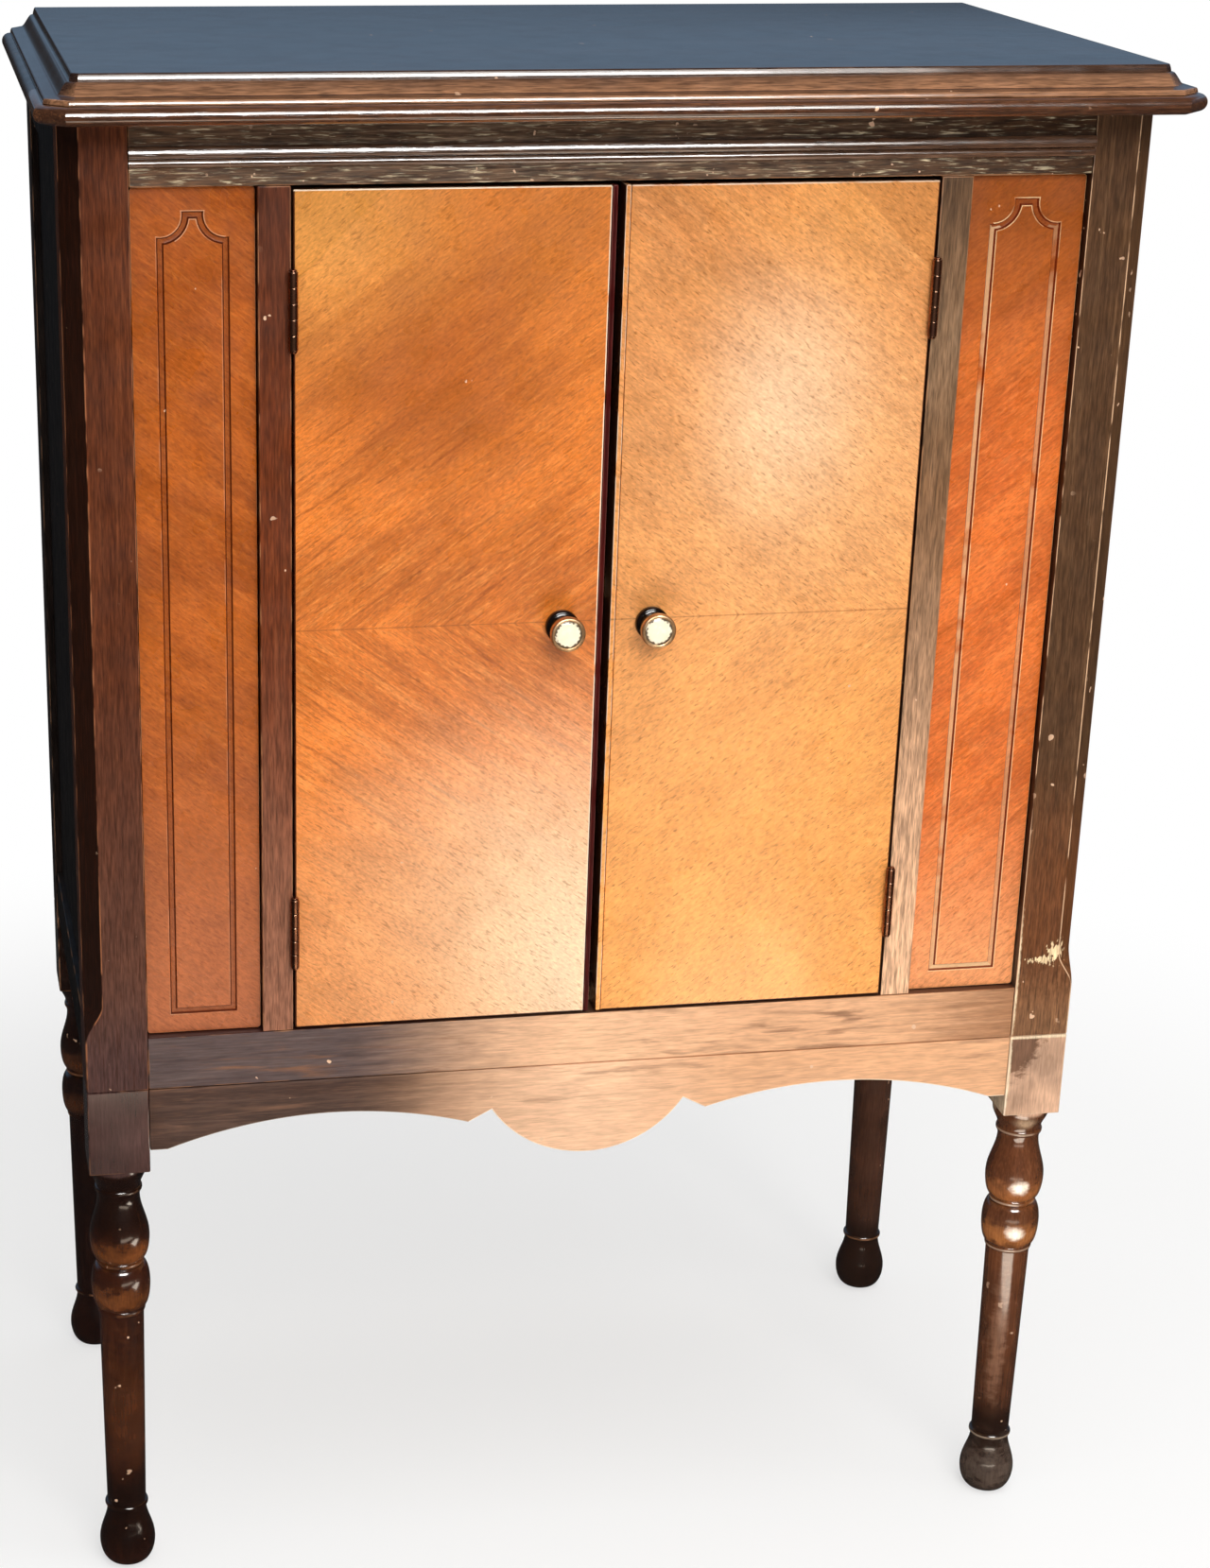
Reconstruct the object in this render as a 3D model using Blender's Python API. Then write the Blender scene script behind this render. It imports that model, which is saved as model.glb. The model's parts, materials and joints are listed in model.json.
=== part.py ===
"""Two-door cabinet on four turned legs, in metres, +Z up, front towards -Y.

The origin is on the floor, at the middle of the whole object's width and depth.
"""

import math

import bmesh
import bpy
from mathutils import Matrix, Vector

MM = 0.001

# Overall sizes of the carcass, and the height of the top surface above the floor
HEIGHT = 1034.5 * MM
CARCASS_WIDTH = 682 * MM
CARCASS_DEPTH = 354 * MM

# Clearances: between pieces that touch, round the doors, and round a loose panel's field
FIT_GAP = 0.3 * MM
DOOR_SIDE_GAP = 1.4 * MM
DOOR_TOP_GAP = 2.5 * MM
DOOR_BOTTOM_GAP = 2.0 * MM
DOOR_MEETING_GAP = 5.0 * MM
FIELD_GAP = 0.8 * MM

# Joints between the wooden pieces
TENON_LENGTH = 11 * MM
TENON_THICKNESS = 8 * MM
TENON_SETBACK = 5 * MM
TENON_SHOULDER = 2 * MM
DOWEL_RADIUS = 4.5 * MM
DOWEL_LENGTH = 24 * MM
TONGUE_DEPTH = 5 * MM
STILE_TENON_SETBACK = 3 * MM
STILE_TENON_LENGTH = 10 * MM

# Corner posts, with the chamfer on the front pair
POST_WIDTH = 41 * MM
POST_CHAMFER = 12 * MM
EASED_EDGE = 0.6 * MM
CHAMFER_STOP_RISE = 36 * MM
CHAMFER_STOP_LENGTH = 27 * MM

# Turned legs, from the floor up; the column takes what height is left
LEG_HEIGHT = 376 * MM
LEG_BLOCK_HEIGHT = 61 * MM
FOOT_TIP_RADIUS = 11 * MM
FOOT_BULB_RADIUS = 19.6 * MM
FOOT_BULB_RISE = 17 * MM
FOOT_HEIGHT = 45 * MM
ANKLE_RADIUS = 13.6 * MM
ANKLE_RING_RADIUS = 15.2 * MM
COLUMN_FOOT_RADIUS = 13.6 * MM
COLUMN_HEAD_RADIUS = 15.4 * MM
HEAD_RING_RADIUS = 16.6 * MM
BALL_FOOT_RADIUS = 16 * MM
BALL_RADIUS = 20.3 * MM
BALL_RISE = 17.5 * MM
BALL_HEIGHT = 33 * MM
NECK_RADIUS = 15.6 * MM
NECK_RING_RADIUS = 16.4 * MM
VASE_RADIUS = 20.5 * MM
VASE_RISE = 17 * MM
VASE_HEIGHT = 48 * MM
VASE_NECK_RADIUS = 14.4 * MM
FLARE_HEIGHT = 3.5 * MM
CUP_FOOT_RADIUS = 15.6 * MM
CUP_RING_RADIUS = 16.6 * MM
CUP_RADIUS = 19.4 * MM
CUP_HEIGHT = 16.5 * MM
RING_HEIGHT = 4 * MM

# Top board and the bull-nosed cornice under it, with the moulded edge from the nose inwards
TOP_THICKNESS = 16.4 * MM
CORNICE_THICKNESS = 11 * MM
FRONT_OVERHANG = 50 * MM
SIDE_OVERHANG = 15.3 * MM
TOP_CANT = 4.4 * MM
LEDGE_INSET = 5.9 * MM
LEDGE_WIDTH = 7.3 * MM
LEDGE_HEIGHT = 3 * MM
LEDGE_SLOPE = 0.9 * MM
OGEE_WIDTH = 8 * MM
FILLET_STEP = 1.1 * MM
FILLET_HEIGHT = 4.6 * MM

# Front frame
RAIL_SETBACK = 0.5 * MM
TOP_RAIL_HEIGHT = 41 * MM
BOTTOM_RAIL_HEIGHT = 37 * MM
RAIL_THICKNESS = 20 * MM
STILE_WIDTH = 20.2 * MM
FRONT_PANEL_WIDTH = 76.8 * MM

# Bead moulding on the top rail
MOULDING_HEIGHT = 13 * MM
MOULDING_DROP = 17 * MM
MOULDING_BASE = 1.4 * MM
MOULDING_STEP = 2.2 * MM
MOULDING_CROWN = 4.2 * MM

# Scalloped apron
APRON_THICKNESS = 18 * MM
APRON_END_HEIGHT = 45 * MM
APRON_END_FLAT = 12 * MM
ARCH_RISE = 16.5 * MM
POINT_HEIGHT = 39 * MM
POINT_FROM_CENTRE = 83 * MM
PEAK_HEIGHT = 30.5 * MM
PEAK_FROM_CENTRE = 67 * MM
LOBE_HEIGHT = 67 * MM
APRON_TENON_HEIGHT = 28 * MM

# Recessed front panels, with a routed line that has hollow upper corners
PANEL_RECESS = 7 * MM
FIELD_THICKNESS = 4 * MM
TONGUE_THICKNESS = 4 * MM
FIELD_CORNER = 3 * MM
LINE_MARGIN = 16 * MM
LINE_HOLLOW = 15.5 * MM
LINE_WIDTH = 4.4 * MM
LINE_DEPTH = 1.8 * MM

# Sides and back
SIDE_SETBACK = 1 * MM
SIDE_RAIL_THICKNESS = 20 * MM
SIDE_PANEL_THICKNESS = 5 * MM
SIDE_PANEL_RECESS = 5 * MM
BACK_SETBACK = 1.5 * MM
BACK_RAIL_THICKNESS = 18 * MM
BACK_PANEL_THICKNESS = 5 * MM
BACK_PANEL_RECESS = 8 * MM

# Inside
BOARD_THICKNESS = 10 * MM
BOARD_BEARING = 9 * MM
SHELF_RISE = 272 * MM
SHELF_THICKNESS = 12 * MM
SHELF_SETBACK = 9 * MM
CLEAT_HEIGHT = 20 * MM
CLEAT_WIDTH = 15 * MM

# Doors
DOOR_THICKNESS = 19 * MM
LIPPING_WIDTH = 3.2 * MM

# Butt hinges, let into the door's edge and the stile's edge
HINGE_LENGTH = 48 * MM
HINGE_KNUCKLES = 5
KNUCKLE_RADIUS = 3 * MM
PIN_RADIUS = 1.5 * MM
PIN_PLAY = 0.25 * MM
PIN_HEAD_RADIUS = 2.4 * MM
PIN_HEAD_HEIGHT = 1.2 * MM
LEAF_THICKNESS = 1.5 * MM
LEAF_WIDTH = 17 * MM
LEAF_PLAY = 0.2 * MM
HINGE_TOP_MARGIN = 48 * MM
HINGE_BOTTOM_MARGIN = 45 * MM

# Knobs, with lengths measured out from the door's face
KNOB_RISE = 271 * MM
KNOB_FROM_EDGE = 27 * MM
KNOB_BASE_RADIUS = 10 * MM
KNOB_BASE_LENGTH = 3.6 * MM
KNOB_NECK_RADIUS = 6.2 * MM
KNOB_NECK_LENGTH = 7.4 * MM
KNOB_CUP_RADIUS = 11 * MM
KNOB_CUP_LENGTH = 7 * MM
RIM_RADIUS = 11.4 * MM
RIM_HOLE_RADIUS = 9 * MM
RIM_LENGTH = 4.2 * MM
DISC_LENGTH = 3.4 * MM
DISC_DOME = 1 * MM
SCREW_RADIUS = 2 * MM
SCREW_BITE = 10 * MM
SCREW_HEAD_RADIUS = 4 * MM
SCREW_HEAD_LENGTH = 2.4 * MM

# Spring catch: a clip on the bottom board and a tongue on each door
CLIP_HALF_WIDTH = 26 * MM
CLIP_DEPTH = 20 * MM
CLIP_HEIGHT = 15 * MM
CATCH_METAL = 1.2 * MM
CATCH_SETBACK = 4 * MM
JAW_GAP = 2.8 * MM
TONGUE_PLATE_HEIGHT = 18 * MM
TONGUE_INNER = 7 * MM
TONGUE_OUTER = 23 * MM
TONGUE_TIP_GAP = 5 * MM

# How finely curves are drawn
LEG_SIDES = 18
KNOB_SIDES = 24
HINGE_SIDES = 12
BULGE_STEPS = 3
RING_STEPS = 2
CORNER_STEPS = 4
CURVE_STEPS = 7
NOSE_STEPS = 8
ARCH_STEPS = 14
SMOOTH_ANGLE = math.radians(35)
MERGE_DISTANCE = 0.001 * MM

# Finishes: colour, roughness, metallic
DARK_STAIN = ((0.062, 0.026, 0.014), 0.32, 0.0)
TOP_STAIN = ((0.038, 0.021, 0.016), 0.22, 0.0)
DOOR_VENEER = ((0.33, 0.125, 0.04), 0.3, 0.0)
PANEL_VENEER = ((0.31, 0.1, 0.028), 0.3, 0.0)
INNER_WOOD = ((0.3, 0.19, 0.1), 0.6, 0.0)
AGED_BRASS = ((0.32, 0.22, 0.1), 0.38, 1.0)
BLACK_STAIN = ((0.02, 0.014, 0.012), 0.2, 0.0)
CREAM_INLAY = ((0.76, 0.7, 0.56), 0.35, 0.0)
STEEL = ((0.42, 0.4, 0.37), 0.4, 1.0)

# Levels and faces that the pieces share
half_width = CARCASS_WIDTH / 2
post_inner = half_width - POST_WIDTH
nose_half_width = half_width + SIDE_OVERHANG
knob_length = KNOB_BASE_LENGTH + KNOB_NECK_LENGTH + KNOB_CUP_LENGTH + RIM_LENGTH + FIT_GAP
front_reach = max(FRONT_OVERHANG, knob_length)
fillet_inset = LEDGE_INSET + LEDGE_WIDTH + OGEE_WIDTH + FILLET_STEP
cant_shrink = 2 - math.sqrt(2)
nose_cant = TOP_CANT + cant_shrink * fillet_inset
front_y = (front_reach - CARCASS_DEPTH) / 2
back_y = front_y + CARCASS_DEPTH
nose_y = front_y - FRONT_OVERHANG
post_bottom = LEG_HEIGHT + FIT_GAP
top_underside = HEIGHT - TOP_THICKNESS
cornice_top = top_underside - FIT_GAP
cornice_bottom = cornice_top - CORNICE_THICKNESS
post_top = cornice_bottom - FIT_GAP
opening_bottom = post_bottom + BOTTOM_RAIL_HEIGHT
opening_top = post_top - TOP_RAIL_HEIGHT
stile_outer = post_inner - FRONT_PANEL_WIDTH
stile_inner = stile_outer - STILE_WIDTH
rail_front = front_y + RAIL_SETBACK
rail_back = rail_front + RAIL_THICKNESS
board_bottom = opening_bottom + FIT_GAP
board_top = board_bottom + BOARD_THICKNESS
back_panel_front = back_y - BACK_PANEL_RECESS - BACK_PANEL_THICKNESS
door_bottom = opening_bottom + DOOR_BOTTOM_GAP
door_top = opening_top - DOOR_TOP_GAP
door_outer = stile_inner - DOOR_SIDE_GAP
door_inner = DOOR_MEETING_GAP / 2
door_back = front_y + DOOR_THICKNESS
board_front = max(rail_back, door_back) + FIT_GAP
hinge_x = stile_inner - DOOR_SIDE_GAP / 2
hinge_y = front_y - KNUCKLE_RADIUS - FIT_GAP
knob_x = door_inner + KNOB_FROM_EDGE
knob_z = door_bottom + KNOB_RISE
SIDES = {"left": -1, "right": 1}


def clear_scene():
    for old in list(bpy.data.objects):
        bpy.data.objects.remove(old, do_unlink=True)


def own_material(name, finish):
    colour, roughness, metallic = finish
    material = bpy.data.materials.new(name)
    material.use_nodes = True
    shader = material.node_tree.nodes["Principled BSDF"]
    shader.inputs["Base Color"].default_value = (*colour, 1)
    shader.inputs["Roughness"].default_value = roughness
    shader.inputs["Metallic"].default_value = metallic
    return material


def add_object(name, shape, finish, location=(0, 0, 0), smooth=False):
    """Adds the shape as an object; a shape with no finish is a helper that isn't part of the cabinet."""
    bmesh.ops.recalc_face_normals(shape, faces=shape.faces)
    mesh = bpy.data.meshes.new(name)
    shape.to_mesh(mesh)
    shape.free()
    if smooth:
        mesh.shade_smooth()
        mesh.set_sharp_from_angle(angle=SMOOTH_ANGLE)
    thing = bpy.data.objects.new(name, mesh)
    thing.location = location
    bpy.context.scene.collection.objects.link(thing)
    if finish:
        mesh.materials.append(own_material(name, finish))
    else:
        thing.hide_render = True
        thing.display_type = "WIRE"
    return thing


def block(name, low, high, finish=None):
    """A cuboid between two corners, with its origin at its middle."""
    low, high = Vector(low), Vector(high)
    size = [abs(side) for side in high - low]
    shape = bmesh.new()
    bmesh.ops.create_cube(shape, size=1)
    bmesh.ops.scale(shape, vec=size, verts=shape.verts)
    return add_object(name, shape, finish, (low + high) / 2)


def prism(name, outline, axis, start, end, finish=None):
    """An outline in the plane square to an axis, extruded along it."""
    place = {
        "X": lambda a, b, along: (along, a, b),
        "Y": lambda a, b, along: (a, along, b),
        "Z": lambda a, b, along: (a, b, along),
    }[axis]
    shape = bmesh.new()
    face = shape.faces.new([shape.verts.new(place(a, b, start)) for a, b in outline])
    moved = bmesh.ops.extrude_face_region(shape, geom=[face])["geom"]
    corners = [item for item in moved if isinstance(item, bmesh.types.BMVert)]
    bmesh.ops.translate(shape, vec=place(0, 0, end - start), verts=corners)
    return add_object(name, shape, finish)


def loft(name, loops, finish=None, endless=False):
    """A skin over loops of equally many points, capped at its ends or joined into an endless one."""
    shape = bmesh.new()
    rows = [[shape.verts.new(point) for point in loop] for loop in loops]
    count = len(rows[0])
    pairs = list(zip(rows, rows[1:]))
    if endless:
        pairs.append((rows[-1], rows[0]))
    else:
        shape.faces.new(rows[0])
        shape.faces.new(rows[-1])
    for one, other in pairs:
        for i in range(count):
            j = (i + 1) % count
            shape.faces.new((one[i], one[j], other[j], other[i]))
    return add_object(name, shape, finish)


def turned(name, profile, steps, finish=None, location=(0, 0, 0), turn=None):
    """A profile of (radius, height) points spun about the Z axis, then turned if asked."""
    shape = bmesh.new()
    points = [shape.verts.new((radius, 0, height)) for radius, height in profile]
    edges = [shape.edges.new(pair) for pair in zip(points, points[1:])]
    if profile[0][0] > 0:
        edges.append(shape.edges.new((points[-1], points[0])))
    bmesh.ops.spin(shape, geom=points + edges, cent=(0, 0, 0), axis=(0, 0, 1),
                   angle=math.tau, steps=steps, use_merge=True)
    bmesh.ops.remove_doubles(shape, verts=shape.verts, dist=MERGE_DISTANCE)
    if turn:
        bmesh.ops.transform(shape, matrix=turn, verts=shape.verts)
    return add_object(name, shape, finish, location, smooth=True)


def rod(name, radius, low, high, steps, finish=None, location=(0, 0, 0), turn=None):
    profile = [(0, high), (radius, high), (radius, low), (0, low)]
    return turned(name, profile, steps, finish, location, turn)


def combine(thing, other, operation):
    modifier = thing.modifiers.new(other.name, "BOOLEAN")
    modifier.operation = operation
    modifier.solver = "EXACT"
    modifier.object = other


def join(thing, other):
    combine(thing, other, "UNION")


def cut(thing, other):
    combine(thing, other, "DIFFERENCE")


def pocket(name, things, low, high):
    """Cuts a box-shaped pocket, larger all round by the fitting gap, from each of the things."""
    gap = Vector((FIT_GAP, FIT_GAP, FIT_GAP))
    cutter = block(name, Vector(low) - gap, Vector(high) + gap)
    for thing in things:
        cut(thing, cutter)


def attach(thing, pivot):
    """Parents a thing to a pivot and keeps it where it is."""
    thing.parent = pivot
    thing.location = Vector(thing.location) - Vector(pivot.location)


def mirrored(side, *lengths):
    """Distances from the middle plane as ascending X values on one side."""
    return sorted(side * length for length in lengths)


def quarter(start, end, steps, full_first):
    """Points on a quarter ellipse between two (radius, height) points, without the first point."""
    points = []
    for i in range(1, steps + 1):
        angle = math.pi / 2 * i / steps
        across, along = math.sin(angle), 1 - math.cos(angle)
        if not full_first:
            across, along = along, across
        points.append((start[0] + (end[0] - start[0]) * across,
                       start[1] + (end[1] - start[1]) * along))
    return points


def swell(profile, height, rise, peak_radius, end_radius, steps=BULGE_STEPS):
    """Adds a bulge to the end of a turned profile, widest at the rise."""
    start = profile[-1]
    peak = (peak_radius, start[1] + rise)
    end = (end_radius, start[1] + height)
    profile += quarter(start, peak, steps, True)
    profile += quarter(peak, end, steps, False)


def ring(profile, radius, end_radius):
    """Adds a narrow half-round ring to the end of a turned profile."""
    swell(profile, RING_HEIGHT, RING_HEIGHT / 2, radius, end_radius, RING_STEPS)


def ogee(start, end, steps):
    """Points on an S-curve, level at both ends, without the first point."""
    points = []
    for i in range(1, steps + 1):
        share = i / steps
        points.append((start[0] + (end[0] - start[0]) * (1 - math.cos(math.pi * share)) / 2,
                       start[1] + (end[1] - start[1]) * share))
    return points


def pear(profile, height, rise, peak_radius, end_radius):
    """Adds a bulge that runs out in an S-curve to the end of a turned profile."""
    start = profile[-1]
    peak = (peak_radius, start[1] + rise)
    profile += quarter(start, peak, BULGE_STEPS, True)
    profile += ogee(peak, (end_radius, start[1] + height), BULGE_STEPS + 1)


def leg_profile():
    """The turning from the dowel's tip down to the foot's flat, with the column filling the height."""
    block_bottom = LEG_HEIGHT - LEG_BLOCK_HEIGHT
    above_column = 3 * RING_HEIGHT + BALL_HEIGHT + VASE_HEIGHT + FLARE_HEIGHT + CUP_HEIGHT
    profile = [(0, 0), (FOOT_TIP_RADIUS, 0)]
    pear(profile, FOOT_HEIGHT, FOOT_BULB_RISE, FOOT_BULB_RADIUS, ANKLE_RADIUS)
    ring(profile, ANKLE_RING_RADIUS, ANKLE_RADIUS)
    profile.append((COLUMN_FOOT_RADIUS, profile[-1][1] + EASED_EDGE))
    profile.append((COLUMN_HEAD_RADIUS, block_bottom - above_column))
    ring(profile, HEAD_RING_RADIUS, BALL_FOOT_RADIUS)
    swell(profile, BALL_HEIGHT, BALL_RISE, BALL_RADIUS, NECK_RADIUS)
    ring(profile, NECK_RING_RADIUS, NECK_RADIUS)
    pear(profile, VASE_HEIGHT, VASE_RISE, VASE_RADIUS, VASE_NECK_RADIUS)
    profile.append((CUP_FOOT_RADIUS, profile[-1][1] + FLARE_HEIGHT))
    ring(profile, CUP_RING_RADIUS, CUP_FOOT_RADIUS)
    profile += quarter(profile[-1], (CUP_RADIUS, block_bottom), BULGE_STEPS, False)
    profile.append((CUP_RADIUS, block_bottom + DOWEL_RADIUS))
    profile.append((DOWEL_RADIUS, block_bottom + DOWEL_RADIUS))
    profile.append((DOWEL_RADIUS, LEG_HEIGHT + DOWEL_LENGTH))
    profile.append((0, LEG_HEIGHT + DOWEL_LENGTH))
    return profile[::-1]


def make_posts_and_legs():
    posts, legs = {}, {}
    for row, near in (("front", front_y), ("back", back_y - POST_WIDTH)):
        for hand, side in SIDES.items():
            name = f"{row}_{hand}"
            centre = (side * (half_width - POST_WIDTH / 2), near + POST_WIDTH / 2, 0)
            inner, outer = side * post_inner, side * half_width
            legs[name] = block(f"{name}_leg", (inner, near, LEG_HEIGHT - LEG_BLOCK_HEIGHT),
                               (outer, near + POST_WIDTH, LEG_HEIGHT), DARK_STAIN)
            turning = turned(f"{name}_leg_turning", leg_profile(), LEG_SIDES, None, centre)
            join(legs[name], turning)
            if row == "front":
                posts[name] = loft(f"{name}_post", front_post_loops(side), DARK_STAIN)
            else:
                posts[name] = block(f"{name}_post", (inner, near, post_bottom),
                                    (outer, near + POST_WIDTH, post_top), DARK_STAIN)
            hole = rod(f"{name}_dowel_hole", DOWEL_RADIUS + FIT_GAP, LEG_HEIGHT - DOWEL_RADIUS,
                       LEG_HEIGHT + DOWEL_LENGTH + FIT_GAP, LEG_SIDES, None, centre)
            cut(posts[name], hole)
    return posts, legs


def front_post_loops(side):
    """Sections of a front post from its foot up, with the chamfer rising out of its stop."""
    stop = post_bottom + CHAMFER_STOP_RISE
    levels = [(post_bottom, EASED_EDGE), (stop, EASED_EDGE)]
    full = (POST_CHAMFER, stop + CHAMFER_STOP_LENGTH)
    levels += [(level, cant) for cant, level in ogee((EASED_EDGE, stop), full, CURVE_STEPS)]
    levels.append((post_top, POST_CHAMFER))
    inner, outer = side * post_inner, side * half_width
    rear = front_y + POST_WIDTH
    return [[(inner, front_y, z), (outer - side * cant, front_y, z), (outer, front_y + cant, z),
             (outer, rear, z), (inner, rear, z)] for z, cant in levels]


def canted_loop(inset, z, rear):
    """A board's outline at one level, with its front corners cut across and its back straight."""
    reach = nose_half_width - inset
    near = nose_y + inset
    cant = nose_cant - cant_shrink * inset
    return [(-reach, rear, z), (-reach, near + cant, z), (cant - reach, near, z),
            (reach - cant, near, z), (reach, near + cant, z), (reach, rear, z)]


def nose_levels():
    """Insets and levels round the cornice's half-round nose, from its underside up."""
    radius = CORNICE_THICKNESS / 2
    angles = [math.pi * (i / NOSE_STEPS - 1 / 2) for i in range(NOSE_STEPS + 1)]
    return [(radius - radius * math.cos(a), cornice_bottom + radius + radius * math.sin(a)) for a in angles]


def make_top():
    shoulder = top_underside + LEDGE_HEIGHT
    ledge_back = shoulder + LEDGE_SLOPE
    ogee_foot = LEDGE_INSET + LEDGE_WIDTH
    ogee_head = HEIGHT - FILLET_HEIGHT
    levels = [(LEDGE_INSET, top_underside), (LEDGE_INSET, shoulder - EASED_EDGE),
              (LEDGE_INSET + EASED_EDGE, shoulder), (ogee_foot, ledge_back)]
    curve = ogee((ledge_back, ogee_foot), (ogee_head, ogee_foot + OGEE_WIDTH), CURVE_STEPS)
    levels += [(inset, level) for level, inset in curve]
    fillet = fillet_inset - EASED_EDGE
    levels += [(fillet, ogee_head), (fillet, HEIGHT - EASED_EDGE), (fillet_inset, HEIGHT)]
    loft("top_board", [canted_loop(inset, z, back_y) for inset, z in levels], TOP_STAIN)

    strip_back = front_y + POST_WIDTH
    loft("cornice_front", [canted_loop(inset, z, strip_back) for inset, z in nose_levels()], DARK_STAIN)
    for hand, side in SIDES.items():
        near = strip_back + FIT_GAP
        inner = side * post_inner
        loops = [[(side * (nose_half_width - inset), near, z), (side * (nose_half_width - inset), back_y, z),
                  (inner, back_y, z), (inner, near, z)] for inset, z in nose_levels()]
        loft(f"cornice_{hand}", loops, DARK_STAIN)


def tenoned_rail(name, low, high, along, outward, ends, finish=DARK_STAIN):
    """A rail with a tenon at each end, set back from its outward face, and the mortises for it."""
    rail = block(name, low, high, finish)
    low, high = Vector(low), Vector(high)
    across = 1 - along
    low[along] -= TENON_LENGTH
    high[along] += TENON_LENGTH
    face = high[across] if outward > 0 else low[across]
    near = face - outward * TENON_SETBACK
    low[across], high[across] = sorted((near, near - outward * TENON_THICKNESS))
    low.z += TONGUE_DEPTH + TENON_SHOULDER
    high.z -= TONGUE_DEPTH + TENON_SHOULDER
    join(rail, block(f"{name}_tenons", low, high))
    pocket(f"{name}_mortises", ends, low, high)
    return rail


def make_front_frame(posts, legs):
    pair = [posts["front_left"], posts["front_right"]]
    reach = post_inner - FIT_GAP
    top_rail = tenoned_rail("front_top_rail", (-reach, rail_front, opening_top), (reach, rail_back, post_top),
                            0, -1, pair)
    bottom_rail = tenoned_rail("front_bottom_rail", (-reach, rail_front, post_bottom),
                               (reach, board_front + BOARD_BEARING, opening_bottom), 0, -1, pair)
    make_rail_moulding(reach)
    make_apron(reach, [legs["front_left"], legs["front_right"]])
    for hand, side in SIDES.items():
        stile = make_stile(hand, side, [top_rail, bottom_rail])
        make_front_panel(hand, side, [posts[f"front_{hand}"], stile, top_rail, bottom_rail])
        for place, low in hinge_levels().items():
            leaf_low, leaf_high = leaf_corners(side, side, low)
            pocket(f"{hand}_{place}_hinge_stile_gain", [stile], leaf_low, leaf_high)


def rounded_rectangle(low, high, radius, inset):
    """Points round a rectangle in (across, up) with rounded corners, drawn in by the inset."""
    radius -= inset
    corners = [(high[0], low[1], -90), (high[0], high[1], 0), (low[0], high[1], 90), (low[0], low[1], 180)]
    points = []
    for across, up, first in corners:
        centre_across = across - math.copysign(radius + inset, across - (low[0] + high[0]) / 2)
        centre_up = up - math.copysign(radius + inset, up - (low[1] + high[1]) / 2)
        for i in range(CORNER_STEPS + 1):
            angle = math.radians(first + 90 * i / CORNER_STEPS)
            points.append((centre_across + radius * math.cos(angle), centre_up + radius * math.sin(angle)))
    return points


def make_rail_moulding(reach):
    """A strip with a flat border and a raised half-round along its middle, stopped at both ends."""
    high = (reach, post_top - MOULDING_DROP)
    low = (-reach, high[1] - MOULDING_HEIGHT)
    corner = MOULDING_HEIGHT / 2 - EASED_EDGE
    crown_inset = corner - EASED_EDGE
    levels = [(0, FIT_GAP), (0, MOULDING_BASE), (MOULDING_STEP, MOULDING_BASE)]
    levels += quarter((MOULDING_STEP, MOULDING_BASE), (crown_inset, MOULDING_CROWN), CORNER_STEPS, False)
    loops = [[(x, rail_front - out, z) for x, z in rounded_rectangle(low, high, corner, inset)]
             for inset, out in levels]
    loft("front_rail_moulding", loops, DARK_STAIN)


def apron_edge():
    """The right half of the apron's lower edge as (across, below the seam), from the middle out."""
    half_chord = PEAK_FROM_CENTRE
    drop = LOBE_HEIGHT - PEAK_HEIGHT
    radius = (half_chord ** 2 + drop ** 2) / (2 * drop)
    sweep = math.asin(min(1, half_chord / radius))
    lobe = [sweep * i / ARCH_STEPS for i in range(ARCH_STEPS + 1)]
    points = [(radius * math.sin(a), LOBE_HEIGHT - radius + radius * math.cos(a)) for a in lobe]
    points.append((POINT_FROM_CENTRE, POINT_HEIGHT))
    far = post_inner - APRON_END_FLAT
    for i in range(1, ARCH_STEPS + 1):
        share = i / ARCH_STEPS
        chord = POINT_HEIGHT + (APRON_END_HEIGHT - POINT_HEIGHT) * share
        bow = 1 - (2 * share - 1) ** 2
        points.append((POINT_FROM_CENTRE + (far - POINT_FROM_CENTRE) * share, chord - ARCH_RISE * bow))
    return points


def make_apron(reach, leg_pair):
    seam = LEG_HEIGHT - FIT_GAP
    right = [(across, LEG_HEIGHT - below) for across, below in apron_edge()]
    right += [(reach, LEG_HEIGHT - APRON_END_HEIGHT), (reach, seam)]
    left = [(-across, up) for across, up in right[:0:-1]]
    apron = prism("front_apron", right + left, "Y", rail_front, rail_front + APRON_THICKNESS, DARK_STAIN)
    tenon_front = rail_front + TENON_SETBACK
    top = seam - TONGUE_DEPTH - TENON_SHOULDER
    for hand, side in SIDES.items():
        inner, outer = mirrored(side, reach - APRON_END_FLAT / 2, post_inner + TENON_LENGTH)
        low = (inner, tenon_front, top - APRON_TENON_HEIGHT)
        high = (outer, tenon_front + TENON_THICKNESS, top)
        join(apron, block(f"front_apron_{hand}_tenon", low, high))
        pocket(f"front_apron_{hand}_mortise", leg_pair, low, high)


def make_stile(hand, side, rails):
    """A stile with a stub tenon at each end, kept clear of the panel's groove."""
    left, right = mirrored(side, stile_inner, stile_outer)
    stile = block(f"{hand}_inner_stile", (left, rail_front, opening_bottom + FIT_GAP),
                  (right, rail_back, opening_top - FIT_GAP), DARK_STAIN)
    left, right = mirrored(side, stile_inner + STILE_TENON_SETBACK,
                           stile_outer - TONGUE_DEPTH - STILE_TENON_SETBACK)
    near = rail_front + TENON_SETBACK
    low = (left, near, opening_bottom - STILE_TENON_LENGTH)
    high = (right, near + TENON_THICKNESS, opening_top + STILE_TENON_LENGTH)
    join(stile, block(f"{hand}_inner_stile_tenons", low, high))
    pocket(f"{hand}_inner_stile_mortises", rails, low, high)
    return stile


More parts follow.
